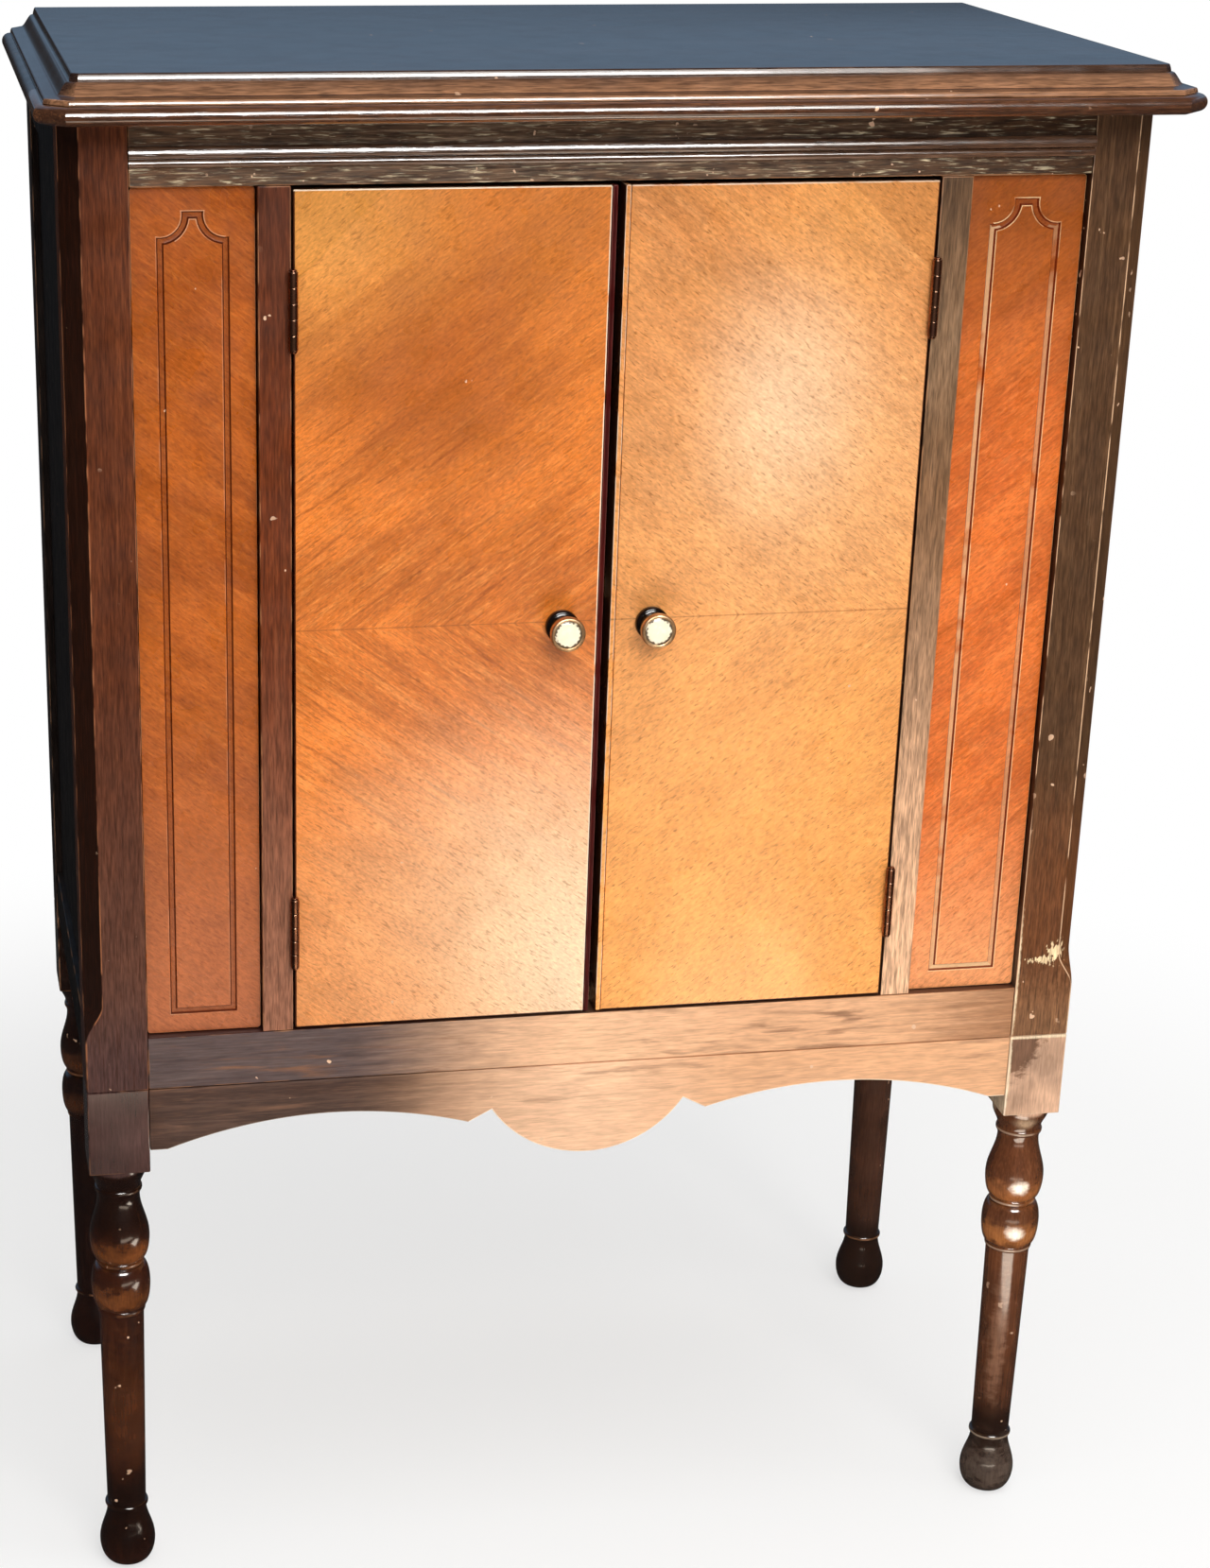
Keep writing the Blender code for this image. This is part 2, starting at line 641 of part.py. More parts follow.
def routed_loop(spread, y, centre_x):
    """The panel's routed line, moved outwards by the spread: square below, hollow corners above."""
    corner = FRONT_PANEL_WIDTH / 2 - LINE_MARGIN
    bottom = opening_bottom + LINE_MARGIN - spread
    corner_z = opening_top - LINE_MARGIN
    radius = LINE_HOLLOW - spread
    extra = math.asin(spread / radius)
    arc = [(math.pi / 2 + 2 * extra) * i / CURVE_STEPS - extra for i in range(CURVE_STEPS + 1)]
    outline = [(corner + spread, bottom)]
    outline += [(corner - radius * math.sin(a), corner_z - radius * math.cos(a)) for a in arc]
    outline += [(-across, up) for across, up in outline[::-1]]
    return [(centre_x + across, y, up) for across, up in outline]


def make_front_panel(hand, side, frame):
    """A panel whose tongue sits in the frame's grooves and whose field stands in the opening."""
    left, right = mirrored(side, stile_outer, post_inner)
    face = front_y + PANEL_RECESS
    tongue_front = face + FIELD_THICKNESS
    low = Vector((left - TONGUE_DEPTH, tongue_front, opening_bottom - TONGUE_DEPTH))
    high = Vector((right + TONGUE_DEPTH, tongue_front + TONGUE_THICKNESS, opening_top + TONGUE_DEPTH))
    panel = block(f"{hand}_front_panel", low, high, PANEL_VENEER)
    outline = rounded_rectangle((left, opening_bottom), (right, opening_top), FIELD_CORNER, FIELD_GAP)
    field = prism(f"{hand}_front_panel_field", outline, "Y", face, tongue_front + TONGUE_THICKNESS / 2)
    join(panel, field)
    above_face = face - FIT_GAP
    spread = LINE_WIDTH / 2 * (1 + FIT_GAP / LINE_DEPTH)
    sections = [(spread, above_face), (-spread, above_face), (0, face + LINE_DEPTH)]
    loops = [routed_loop(spread, y, (left + right) / 2) for spread, y in sections]
    cut(panel, loft(f"{hand}_front_panel_line", loops, endless=True))
    pocket(f"{hand}_front_panel_grooves", frame, low, high)


def make_sides(posts):
    for hand, side in SIDES.items():
        ends = [posts[f"front_{hand}"], posts[f"back_{hand}"]]
        near = front_y + POST_WIDTH + FIT_GAP
        far = back_y - POST_WIDTH - FIT_GAP
        outer = half_width - SIDE_SETBACK
        left, right = mirrored(side, outer - SIDE_RAIL_THICKNESS, outer)
        top = tenoned_rail(f"{hand}_side_top_rail", (left, near, opening_top), (right, far, post_top),
                           1, side, ends)
        bottom = tenoned_rail(f"{hand}_side_bottom_rail", (left, near, post_bottom),
                              (right, far, opening_bottom), 1, side, ends)
        face = half_width - SIDE_PANEL_RECESS
        left, right = mirrored(side, face - SIDE_PANEL_THICKNESS, face)
        low = (left, near - TONGUE_DEPTH, opening_bottom - TONGUE_DEPTH)
        high = (right, far + TONGUE_DEPTH, opening_top + TONGUE_DEPTH)
        block(f"{hand}_side_panel", low, high, DARK_STAIN)
        pocket(f"{hand}_side_panel_grooves", ends + [top, bottom], low, high)


def make_back(posts):
    ends = [posts["back_left"], posts["back_right"]]
    reach = post_inner - FIT_GAP
    rear = back_y - BACK_SETBACK
    near = rear - BACK_RAIL_THICKNESS
    top = tenoned_rail("back_top_rail", (-reach, near, opening_top), (reach, rear, post_top),
                       0, 1, ends, INNER_WOOD)
    rise = block("back_top_rail_rise", (-reach, near, opening_top + TONGUE_DEPTH), (reach, rear, cornice_top))
    join(top, rise)
    bottom = tenoned_rail("back_bottom_rail", (-reach, near, post_bottom), (reach, rear, opening_bottom),
                          0, 1, ends, INNER_WOOD)
    low = (-post_inner - TONGUE_DEPTH, back_panel_front, opening_bottom - TONGUE_DEPTH)
    high = (post_inner + TONGUE_DEPTH, back_panel_front + BACK_PANEL_THICKNESS, opening_top + TONGUE_DEPTH)
    block("back_panel", low, high, INNER_WOOD)
    pocket("back_panel_grooves", ends + [top, bottom], low, high)


def make_inside():
    """The bottom board, notched round the posts, and a shelf on two cleats."""
    wide = half_width - SIDE_PANEL_RECESS - SIDE_PANEL_THICKNESS - FIT_GAP
    narrow = post_inner - FIT_GAP
    near = board_front
    near_notch = front_y + POST_WIDTH + FIT_GAP
    far_notch = back_y - POST_WIDTH - FIT_GAP
    far = back_panel_front - FIT_GAP
    right = [(narrow, near), (narrow, near_notch), (wide, near_notch), (wide, far_notch), (narrow, far_notch),
             (narrow, far)]
    left = [(-across, along) for across, along in right[::-1]]
    prism("bottom_board", right + left, "Z", board_bottom, board_top, INNER_WOOD)

    shelf_bottom = board_top + SHELF_RISE
    shelf_front = board_front + SHELF_SETBACK
    for hand, side in SIDES.items():
        left, right = mirrored(side, narrow - CLEAT_WIDTH, narrow)
        block(f"{hand}_shelf_cleat", (left, shelf_front, shelf_bottom - FIT_GAP - CLEAT_HEIGHT),
              (right, far, shelf_bottom - FIT_GAP), INNER_WOOD)
    shelf_top = shelf_bottom + SHELF_THICKNESS
    block("shelf", (-narrow, shelf_front, shelf_bottom), (narrow, far, shelf_top), INNER_WOOD)


def hinge_levels():
    return {"upper": door_top - HINGE_TOP_MARGIN - HINGE_LENGTH, "lower": door_bottom + HINGE_BOTTOM_MARGIN}


def leaf_corners(side, way, low):
    """Opposite corners of a hinge leaf that lies one way along X from the pin and reaches forward to it."""
    near = side * hinge_x + way * LEAF_PLAY
    left, right = sorted((near, near + way * LEAF_THICKNESS))
    return Vector((left, hinge_y, low)), Vector((right, front_y + LEAF_WIDTH, low + HINGE_LENGTH))


def make_hinge(hand, place, side, low, door, pivot):
    name = f"{hand}_{place}_hinge"
    axis = (side * hinge_x, hinge_y, 0)
    pitch = HINGE_LENGTH / HINGE_KNUCKLES
    bore = rod(f"{name}_bore", PIN_RADIUS + PIN_PLAY, low - pitch, low + HINGE_LENGTH + pitch, HINGE_SIDES,
               None, axis)
    for leaf, way, first in (("frame", side, 0), ("door", -side, 1)):
        corner_low, corner_high = leaf_corners(side, way, low)
        plate_low = Vector((corner_low.x, front_y, low))
        plate = block(f"{name}_{leaf}_leaf", plate_low, corner_high, AGED_BRASS)
        for i in range(first, HINGE_KNUCKLES, 2):
            start = low + pitch * i + (FIT_GAP / 2 if i else 0)
            end = low + pitch * (i + 1) - (FIT_GAP / 2 if i < HINGE_KNUCKLES - 1 else 0)
            tab_low = Vector((corner_low.x, hinge_y, start))
            tab_high = Vector((corner_high.x, front_y + LEAF_THICKNESS, end))
            join(plate, block(f"{name}_{leaf}_tab_{i}", tab_low, tab_high))
            knuckle = rod(f"{name}_{leaf}_knuckle_{i}", KNUCKLE_RADIUS, start, end, HINGE_SIDES, None, axis)
            join(plate, knuckle)
        cut(plate, bore)
        if leaf == "door":
            attach(plate, pivot)
            pocket(f"{name}_door_gain", [door], corner_low, corner_high)
    end = low + HINGE_LENGTH + FIT_GAP
    start = low - FIT_GAP
    edge = PIN_HEAD_HEIGHT / 2
    profile = [(0, end + PIN_HEAD_HEIGHT), (PIN_HEAD_RADIUS, end + edge), (PIN_HEAD_RADIUS, end),
               (PIN_RADIUS, end), (PIN_RADIUS, start),
               (PIN_HEAD_RADIUS, start), (PIN_HEAD_RADIUS, start - edge), (0, start - PIN_HEAD_HEIGHT)]
    turned(f"{name}_pin", profile, HINGE_SIDES, AGED_BRASS, axis)


def make_knob(hand, side, door, pivot):
    """A turned knob with a rim and a pale disc on its face, held by a screw from behind the door."""
    outward = Matrix.Rotation(math.pi / 2, 4, "X")
    place = (side * knob_x, front_y, knob_z)
    neck_start = KNOB_BASE_LENGTH + FIT_GAP
    cup_start = neck_start + KNOB_NECK_LENGTH
    face = cup_start + KNOB_CUP_LENGTH - FIT_GAP
    profile = [(0, FIT_GAP), (KNOB_BASE_RADIUS - EASED_EDGE, FIT_GAP)]
    swell(profile, KNOB_BASE_LENGTH, KNOB_BASE_LENGTH / 2, KNOB_BASE_RADIUS, KNOB_NECK_RADIUS + EASED_EDGE,
          RING_STEPS)
    profile.append((KNOB_NECK_RADIUS, neck_start + KNOB_NECK_LENGTH / 2))
    cup_edge = (KNOB_CUP_RADIUS, face - EASED_EDGE)
    profile += quarter((KNOB_NECK_RADIUS, cup_start), cup_edge, CORNER_STEPS, True)
    profile += [(KNOB_CUP_RADIUS, face), (0, face)]
    knob = turned(f"{hand}_knob", profile[::-1], KNOB_SIDES, BLACK_STAIN, place, outward)

    seat = face + FIT_GAP
    rim_profile = [(RIM_HOLE_RADIUS, seat), (RIM_RADIUS - EASED_EDGE, seat)]
    swell(rim_profile, RIM_LENGTH, RIM_LENGTH / 2, RIM_RADIUS, RIM_HOLE_RADIUS + EASED_EDGE)
    rim_profile.append((RIM_HOLE_RADIUS, seat + RIM_LENGTH - EASED_EDGE))
    rim = turned(f"{hand}_knob_rim", rim_profile[::-1], KNOB_SIDES, AGED_BRASS, place, outward)

    disc_radius = RIM_HOLE_RADIUS - FIT_GAP
    disc_profile = [(0, seat), (disc_radius, seat), (disc_radius, seat + DISC_LENGTH - DISC_DOME)]
    disc_profile += quarter(disc_profile[-1], (0, seat + DISC_LENGTH), BULGE_STEPS, False)
    disc = turned(f"{hand}_knob_disc", disc_profile[::-1], KNOB_SIDES, CREAM_INLAY, place, outward)

    head = -DOOR_THICKNESS - FIT_GAP
    tip = SCREW_BITE
    screw_profile = [(0, tip), (SCREW_RADIUS, tip), (SCREW_RADIUS, head), (SCREW_HEAD_RADIUS, head),
                     (SCREW_HEAD_RADIUS, head - SCREW_HEAD_LENGTH / 2), (0, head - SCREW_HEAD_LENGTH)]
    screw = turned(f"{hand}_knob_screw", screw_profile, KNOB_SIDES, STEEL, place, outward)
    hole = rod(f"{hand}_knob_screw_hole", SCREW_RADIUS + FIT_GAP, 2 * head, tip + FIT_GAP, KNOB_SIDES,
               None, place, outward)
    cut(knob, hole)
    cut(door, hole)
    for piece in (knob, rim, disc, screw):
        attach(piece, pivot)


def make_catch_clip():
    """A bent metal clip on the bottom board, open to the front between two jaws."""
    near = door_back + CATCH_SETBACK
    far = near + CLIP_DEPTH
    low = board_top + FIT_GAP
    high = low + CLIP_HEIGHT
    jaw = high - CATCH_METAL
    lower_jaw = jaw - JAW_GAP
    web = far - CATCH_METAL
    outline = [(near, low), (far, low), (far, high), (near, high), (near, jaw), (web, jaw), (web, lower_jaw),
               (near, lower_jaw), (near, lower_jaw - CATCH_METAL), (web, lower_jaw - CATCH_METAL),
               (web, low + CATCH_METAL), (near, low + CATCH_METAL)]
    prism("catch_clip", outline, "X", -CLIP_HALF_WIDTH, CLIP_HALF_WIDTH, AGED_BRASS)
    return (jaw + lower_jaw) / 2


def make_doors(jaw_middle):
    for hand, side in SIDES.items():
        pivot = bpy.data.objects.new(f"{hand}_door_pivot", None)
        pivot.location = (side * hinge_x, hinge_y, (door_bottom + door_top) / 2)
        bpy.context.scene.collection.objects.link(pivot)

        seam = door_inner + LIPPING_WIDTH
        left, right = mirrored(side, seam + FIT_GAP, door_outer)
        door = block(f"{hand}_door", (left, front_y, door_bottom), (right, door_back, door_top), DOOR_VENEER)
        left, right = mirrored(side, door_inner, seam)
        lipping = block(f"{hand}_door_lipping", (left, front_y, door_bottom), (right, door_back, door_top),
                        DOOR_VENEER)
        for place, low in hinge_levels().items():
            make_hinge(hand, place, side, low, door, pivot)
        make_knob(hand, side, door, pivot)

        plate_front = door_back + FIT_GAP
        plate_back = plate_front + CATCH_METAL
        tip = door_back + CATCH_SETBACK + CLIP_DEPTH - CATCH_METAL - TONGUE_TIP_GAP
        left, right = mirrored(side, TONGUE_INNER, TONGUE_OUTER)
        low = jaw_middle - CATCH_METAL / 2
        high = jaw_middle + CATCH_METAL / 2
        plate_top = low + TONGUE_PLATE_HEIGHT
        outline = [(plate_front, low), (tip, low), (tip, high), (plate_back, high), (plate_back, plate_top),
                   (plate_front, plate_top)]
        tongue = prism(f"{hand}_catch_tongue", outline, "X", left, right, AGED_BRASS)
        for piece in (door, lipping, tongue):
            attach(piece, pivot)


def main():
    clear_scene()
    posts, legs = make_posts_and_legs()
    make_top()
    make_front_frame(posts, legs)
    make_sides(posts)
    make_back(posts)
    make_inside()
    make_doors(make_catch_clip())


main()
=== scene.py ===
import json
import math
from functools import partial

import bmesh
import bpy
from mathutils import Euler, Matrix, Vector

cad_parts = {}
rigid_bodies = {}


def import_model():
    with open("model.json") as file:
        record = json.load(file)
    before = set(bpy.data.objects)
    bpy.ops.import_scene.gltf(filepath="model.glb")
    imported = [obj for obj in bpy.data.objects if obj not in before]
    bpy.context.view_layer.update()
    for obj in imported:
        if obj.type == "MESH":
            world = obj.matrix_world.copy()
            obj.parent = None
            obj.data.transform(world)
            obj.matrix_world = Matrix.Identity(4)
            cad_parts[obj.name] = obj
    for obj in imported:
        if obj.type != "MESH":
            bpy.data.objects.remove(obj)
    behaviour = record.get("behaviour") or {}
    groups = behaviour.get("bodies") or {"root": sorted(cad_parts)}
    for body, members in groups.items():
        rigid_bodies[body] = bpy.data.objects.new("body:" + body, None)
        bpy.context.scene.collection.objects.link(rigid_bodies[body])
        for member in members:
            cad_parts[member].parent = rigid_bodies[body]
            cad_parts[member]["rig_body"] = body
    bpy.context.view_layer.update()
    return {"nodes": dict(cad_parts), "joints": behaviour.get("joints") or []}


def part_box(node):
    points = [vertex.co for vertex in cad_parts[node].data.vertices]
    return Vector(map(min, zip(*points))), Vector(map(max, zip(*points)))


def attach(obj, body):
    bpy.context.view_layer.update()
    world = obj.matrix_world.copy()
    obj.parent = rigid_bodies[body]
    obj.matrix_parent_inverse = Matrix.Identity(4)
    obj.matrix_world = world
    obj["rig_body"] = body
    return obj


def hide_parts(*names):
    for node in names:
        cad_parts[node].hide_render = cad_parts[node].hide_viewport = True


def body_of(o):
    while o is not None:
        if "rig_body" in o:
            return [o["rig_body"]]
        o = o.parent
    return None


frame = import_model()
scene = bpy.context.scene
mm = 0.001
gap = 0.3 * mm  # clearance between pieces that touch, as in the CAD
sides = {"left": -1, "right": 1}
print("frame loaded")


# colours and node trees

def shade(text):
    # an sRGB hex colour in linear light
    parts = [int(text[i:i + 2], 16) / 255 for i in (1, 3, 5)]
    return (*[c / 12.92 if c <= 0.04045 else ((c + 0.055) / 1.055) ** 2.4 for c in parts], 1)


# the setting that makes each kind of node what it is
modes = {"Math": "operation", "VectorMath": "operation", "MapRange": "interpolation_type", "Mix": "data_type",
    "Mapping": "vector_type", "Attribute": "attribute_name"}


def put(tree, kind, inputs=(), mode=None, **settings):
    # adds a node with its settings, and sets or links its inputs, by name or in the node's own order
    made = tree.nodes.new("ShaderNode" + kind)
    if mode:
        settings[modes[kind]] = mode
    for name, value in settings.items():
        setattr(made, name, value)
    for key, value in inputs.items() if isinstance(inputs, dict) else enumerate(inputs):
        if isinstance(key, int):
            socket = made.inputs[key]
        else:
            socket = next(s for s in made.inputs if s.enabled and s.name == key)
        if isinstance(value, bpy.types.NodeSocket):
            tree.links.new(value, socket)
        else:
            socket.default_value = value
    return next((s for s in made.outputs if s.enabled), None)


def newTree(owner):
    # empties the nodes of a material or world, and gives back what adds nodes to it
    owner.use_nodes = True
    owner.node_tree.nodes.clear()
    return partial(put, owner.node_tree)


far = 9.0  # metres: a reach that leaves a direction free


def fade(at, reach, tone, share, core=0.0, ragged=0.2):
    # an area of another tone, for thinned, faded or rubbed finish and for painted glare, highlights and shade: whole
    # inside its core, gone at its reach
    return {"at": at, "reach": reach, "tone": tone, "share": share, "core": core, "ragged": ragged}


def addTonesAndLight(add, place, colour, fades, pattern):
    # lays each area over the colour, its edge broken up by the pattern
    for spot in fades:
        away = add("VectorMath", (place, spot["at"]), "SUBTRACT")
        away = add("VectorMath", (away, spot["reach"]), "DIVIDE")
        away = add("VectorMath", (away,), "LENGTH").node.outputs["Value"]
        edge = add("Math", (pattern, -spot["ragged"], spot["ragged"] / 2), "MULTIPLY_ADD")
        away = add("Math", (away, edge), "ADD")
        share = add("MapRange", (away, 1.0, spot["core"], 0.0, spot["share"]), "SMOOTHSTEP")
        colour = add("Mix", {"Factor": share, "A": colour, "B": shade(spot["tone"])}, "RGBA")
    return colour


# noise of each layer of the grain: detail, roughness, and a shift that keeps the layers apart
grainNoise = {"band": (3.0, 0.5, 0.0), "streak": (5.0, 0.6, 0.31), "fibre": (3.0, 0.6, 0.73), "pore": (2.0, 0.5, 1.17),
    "smear": (4.0, 0.6, 2.3), "blotch": (3.0, 0.6, 0.5), "fleck": (2.0, 0.7, 3.1)}
# noise of the wear: features per metre (33, 22 and 71 mm apart), detail, roughness
wearNoise = {"cloud": (30.0, 3.0, 0.55), "smudge": (45.0, 2.0, 0.5), "patch": (14.0, 2.0, 0.5)}
# where a layer starts to show and where it is full: noise values, or metres for the veneer's seam and corner leaf
layerSpans = {"band": (0.36, 0.64), "lightStreak": (0.5, 0.74), "darkStreak": (0.46, 0.26), "lightFibre": (0.5, 0.72),
    "darkFibre": (0.48, 0.28), "smear": (0.54, 0.72), "patch": (0.46, 0.58), "seam": (0.6 * mm, 0.2 * mm),
    "leaf": (57.5 * mm, 56.5 * mm)}
noiseLow, noiseHigh = 0.3, 0.7  # most of a noise lies between these


def wood(name, look):
    finish = dict(seam=0.45, lineDarkAndShade=0.9, nickNoise=(2.0, 0.45), nickEdge=0.015, rubDulls=0.2,
        poreDepth=-0.8, nickDepth=-1.0, bump=0.25 * mm)
    material = bpy.data.materials.new(name)
    add = newTree(material)
    place = add("TexCoord").node.outputs["Object"]
    grainPlace = place
    if look["seam"]:  # veneer leaves mirrored about a level seam
        axes = add("SeparateXYZ", {"Vector": place}).node.outputs
        level = add("Math", (axes["Z"], look["seam"]), "SUBTRACT")
        level = add("Math", (level,), "ABSOLUTE")
        grainPlace = add("CombineXYZ", {"X": axes["X"], "Y": axes["Y"], "Z": level})
    turn = tuple(math.radians(a) for a in look["turn"])
    deep, plain, light = look["tones"].split()
    grain = {}  # noise drawn out along the grain
    for layer, (detail, roughness, shift) in grainNoise.items():
        if look[layer]:
            length, width = look[layer]
            at = add("Mapping", {"Vector": grainPlace, "Location": (look["shift"] + shift,) * 3, "Rotation": turn,
                "Scale": (length * mm, width * mm, width * mm)}, "TEXTURE")
            grain[layer] = add("TexNoise", {"Vector": at, "Scale": 1.0, "Detail": detail, "Roughness": roughness,
                "Distortion": look["wavers"].get(layer, 0.0)})
    wear = {}  # noise alike in every direction
    for layer, (scale, detail, roughness) in {**wearNoise, "nick": (look["nickScale"], *finish["nickNoise"])}.items():
        wear[layer] = add("TexNoise", {"Vector": place, "Scale": scale, "Detail": detail, "Roughness": roughness})
    spans = {**layerSpans, "pores": look["poreRange"], "rub": look["rubRange"],
        "nicks": (look["nicks"], look["nicks"] + finish["nickEdge"])}
    shares = {}  # how far each layer covers those below it

    def lay(layer, colour, tone, pattern, most, least=0.0, within=None):
        # lays a tone over the colour where the pattern passes through the layer's span
        start, end = spans[layer]
        share = add("MapRange", (pattern, start, end, least, most), "SMOOTHSTEP")
        if within is not None:
            share = add("Math", (within, share), "MULTIPLY")
        shares[layer] = share
        return add("Mix", {"Factor": share, "A": colour, "B": shade(tone)}, "RGBA")

    def vary(colour, pattern, amount):
        # makes the colour lighter and darker by this share
        level = add("MapRange", (pattern, noiseLow, noiseHigh, 1.0 - amount, 1.0 + amount))
        return add("Mix", {"Factor": 1.0, "A": colour, "B": level}, "RGBA", blend_type="MULTIPLY")

    colour = lay("band", shade(deep), plain, grain["band"], 1.0, 1.0 - look["bands"])
    colour = lay("lightStreak", colour, light, grain["streak"], look["lights"])
    colour = lay("darkStreak", colour, deep, grain["streak"], look["darks"])
    colour = lay("lightFibre", colour, light, grain["fibre"], look["fibres"])
    colour = lay("darkFibre", colour, deep, grain["fibre"], look["fibres"])
    if look["smear"] and look["smearUnder"]:  # figure of the veneer, laid under the tone areas and the painted glare
        colour = lay("smear", colour, look["smearHex"], grain["smear"], look["smears"])
    colour = addTonesAndLight(add, place, colour, look["fades"], grain.get("blotch", grain["streak"]))
    if look["smear"] and not look["smearUnder"]:  # old stain left in streaks over the tone areas and the painted glare
        colour = lay("smear", colour, look["smearHex"], grain["smear"], look["smears"])
    if look["leaf"]:  # a corner of the veneer that is a leaf of its own, cut across
        corner = add("VectorMath", (place, look["leaf"]), "SUBTRACT")
        corner = add("VectorMath", (corner,), "ABSOLUTE")
        corner = add("SeparateXYZ", {"Vector": corner}).node.outputs
        away = add("Math", (corner["X"], corner["Z"]), "ADD")
        colour = lay("leaf", colour, look["leafHex"], away, look["leafs"])
    colour = vary(colour, wear["cloud"], look["clouds"])
    colour = vary(colour, grain["fleck"], look["flecks"])
    if look["seam"]:
        colour = lay("seam", colour, look["poreHex"], level, finish["seam"])
    if look["lineHex"]:  # darkening on faces marked as groove: the routed line, painted shadow in gaps and recesses, painted shade on faces turned from the light
        line = add("Attribute", (), "groove").node.outputs["Fac"]
        line = add("Math", (line, finish["lineDarkAndShade"]), "MULTIPLY")
        colour = add("Mix", {"Factor": line, "A": colour, "B": shade(look["lineHex"])}, "RGBA")
    colour = lay("pores", colour, look["poreHex"] or deep, grain["pore"], look["pores"])
    # rubbed arrises and small chips that show the pale wood, and painted highlights on the faces marked as arris
    rubAndHighlightMark = add("Attribute", (), "arris").node.outputs["Fac"]
    colour = lay("rub", colour, look["rubHex"], wear["smudge"], look["rub"], within=rubAndHighlightMark)
    start, end = spans["patch"]
    patch = add("MapRange", (wear["patch"], start, end), "SMOOTHSTEP")
    colour = lay("nicks", colour, look["nickHex"], wear["nick"], 1.0, within=patch)
    # varnish: sheen that varies with handling, duller where it is rubbed
    smooth, rough = look["rough"]
    dull = add("MapRange", (wear["smudge"], noiseLow, noiseHigh, smooth, rough))
    dull = add("Math", (shares["rub"], finish["rubDulls"], dull), "MULTIPLY_ADD")
    height = add("Math", (shares["pores"], finish["poreDepth"], grain["fibre"]), "MULTIPLY_ADD")
    height = add("Math", (shares["nicks"], finish["nickDepth"], height), "MULTIPLY_ADD")
    bump = add("Bump", {"Strength": look["relief"], "Distance": finish["bump"], "Height": height})
    body = add("BsdfPrincipled", {"Base Color": colour, "Roughness": dull, "Normal": bump, "Coat Weight": look["coat"],
        "Coat Roughness": look["coatRough"], "Specular IOR Level": look["spec"]})
    add("OutputMaterial", {"Surface": body})
    return material


def metal(name, look):
    # metal that has gone dark in its hollows and is rubbed bright on its edges
    finish = dict(tarnishNoise=(5.0, 0.65), tarnish=(0.35, 0.65), speckScale=7, speckDetail=2.0, relief=0.2,
        bump=0.15 * mm)
    material = bpy.data.materials.new(name)
    add = newTree(material)
    place = add("TexCoord").node.outputs["Object"]
    detail, roughness = finish["tarnishNoise"]
    tarnish = add("TexNoise", {"Vector": place, "Scale": look["scale"], "Detail": detail, "Roughness": roughness})
    speck = add("TexNoise", {"Vector": place, "Scale": look["scale"] * finish["speckScale"],
        "Detail": finish["speckDetail"]})
    start, end = finish["tarnish"]
    share = add("MapRange", (tarnish, start, end))
    colour = add("Mix", {"Factor": share, "A": shade(look["dark"]), "B": shade(look["body"])}, "RGBA")
    rubAndHighlightMark = add("Attribute", (), "arris").node.outputs["Fac"]
    rubAndHighlightMark = add("Math", (rubAndHighlightMark, look["rub"]), "MULTIPLY")
    colour = add("Mix", {"Factor": rubAndHighlightMark, "A": colour, "B": shade(look["bright"])}, "RGBA")
    smooth, rough = look["rough"]
    dull = add("MapRange", (tarnish, noiseLow, noiseHigh, rough, smooth))
    bump = add("Bump", {"Strength": finish["relief"], "Distance": finish["bump"], "Height": speck})
    body = add("BsdfPrincipled", {"Base Color": colour, "Metallic": 1.0, "Roughness": dull, "Normal": bump})
    add("OutputMaterial", {"Surface": body})
    return material


# shaping helpers

def newMesh():
    bm = bmesh.new()
    for wear in ("arris", "groove"):
        bm.faces.layers.float.new(wear)
    return bm


def mark(bm, layer, share):
    # sets the wear of each face, worked out from its normal and its centre
    for face in bm.faces:
        face[bm.faces.layers.float[layer]] = float(share(face.normal, face.calc_center_median()))


def ease(bm, width, least=28, edges=None):
    # rounds the given edges, or all that turn by the least angle, and marks the new faces as arrises for the wear
    if edges is None:
        edges = [e for e in bm.edges if len(e.link_faces) == 2 and e.calc_face_angle(0) > math.radians(least)]
    made = bmesh.ops.bevel(bm, geom=edges, offset=width, offset_type="OFFSET", segments=2, profile=0.5, affect="EDGES",
        material=-1, clamp_overlap=True)
    for face in made["faces"]:
        face[bm.faces.layers.float["arris"]] = 1.0


def addBox(bm, low, high):
    size = [h - l for l, h in zip(low, high)]
    middle = [(l + h) / 2 for l, h in zip(low, high)]
    bmesh.ops.create_cube(bm, size=1, matrix=Matrix.Translation(middle) @ Matrix.Diagonal((*size, 1)))


def extrude(bm, face):
    made = bmesh.ops.extrude_face_region(bm, geom=[face])["geom"]
    return next(g for g in made if isinstance(g, bmesh.types.BMFace))


def sweep(bm, loops):
    # a closed body whose section is each loop in turn
    face = bm.faces.new([bm.verts.new(p) for p in loops[0]])
    for stage, (before, points) in enumerate(zip(loops, loops[1:])):
        under, face = face, extrude(bm, face)
        if stage:  # only the first cap stays
            bmesh.ops.delete(bm, geom=[under], context="FACES_ONLY")
        for vert in face.verts:
            nearest = min(range(len(before)), key=lambda i: (Vector(before[i]) - vert.co).length)
            vert.co = points[nearest]
    return face


def turnedLine(parts, steps):
    # a lathe line of (radius, along) in metres, from straight runs and quarter curves given in mm
    points = []
    for part in parts.split(", "):
        kind, *sizes = part.split()
        radius, along = (float(size) * mm for size in sizes)
        if kind == "line":
            points.append((radius, along))
            continue
        startRadius, startAlong = points[-1]
        for i in range(1, steps + 1):
            t = i / steps
            wide, up = {"swell": (math.sin(t * math.pi / 2), 1 - math.cos(t * math.pi / 2)),
                "fall": (1 - math.cos(t * math.pi / 2), math.sin(t * math.pi / 2)),
                "wave": ((1 - math.cos(t * math.pi)) / 2, t)}[kind]
            points.append((startRadius + (radius - startRadius) * wide, startAlong + (along - startAlong) * up))
    return points


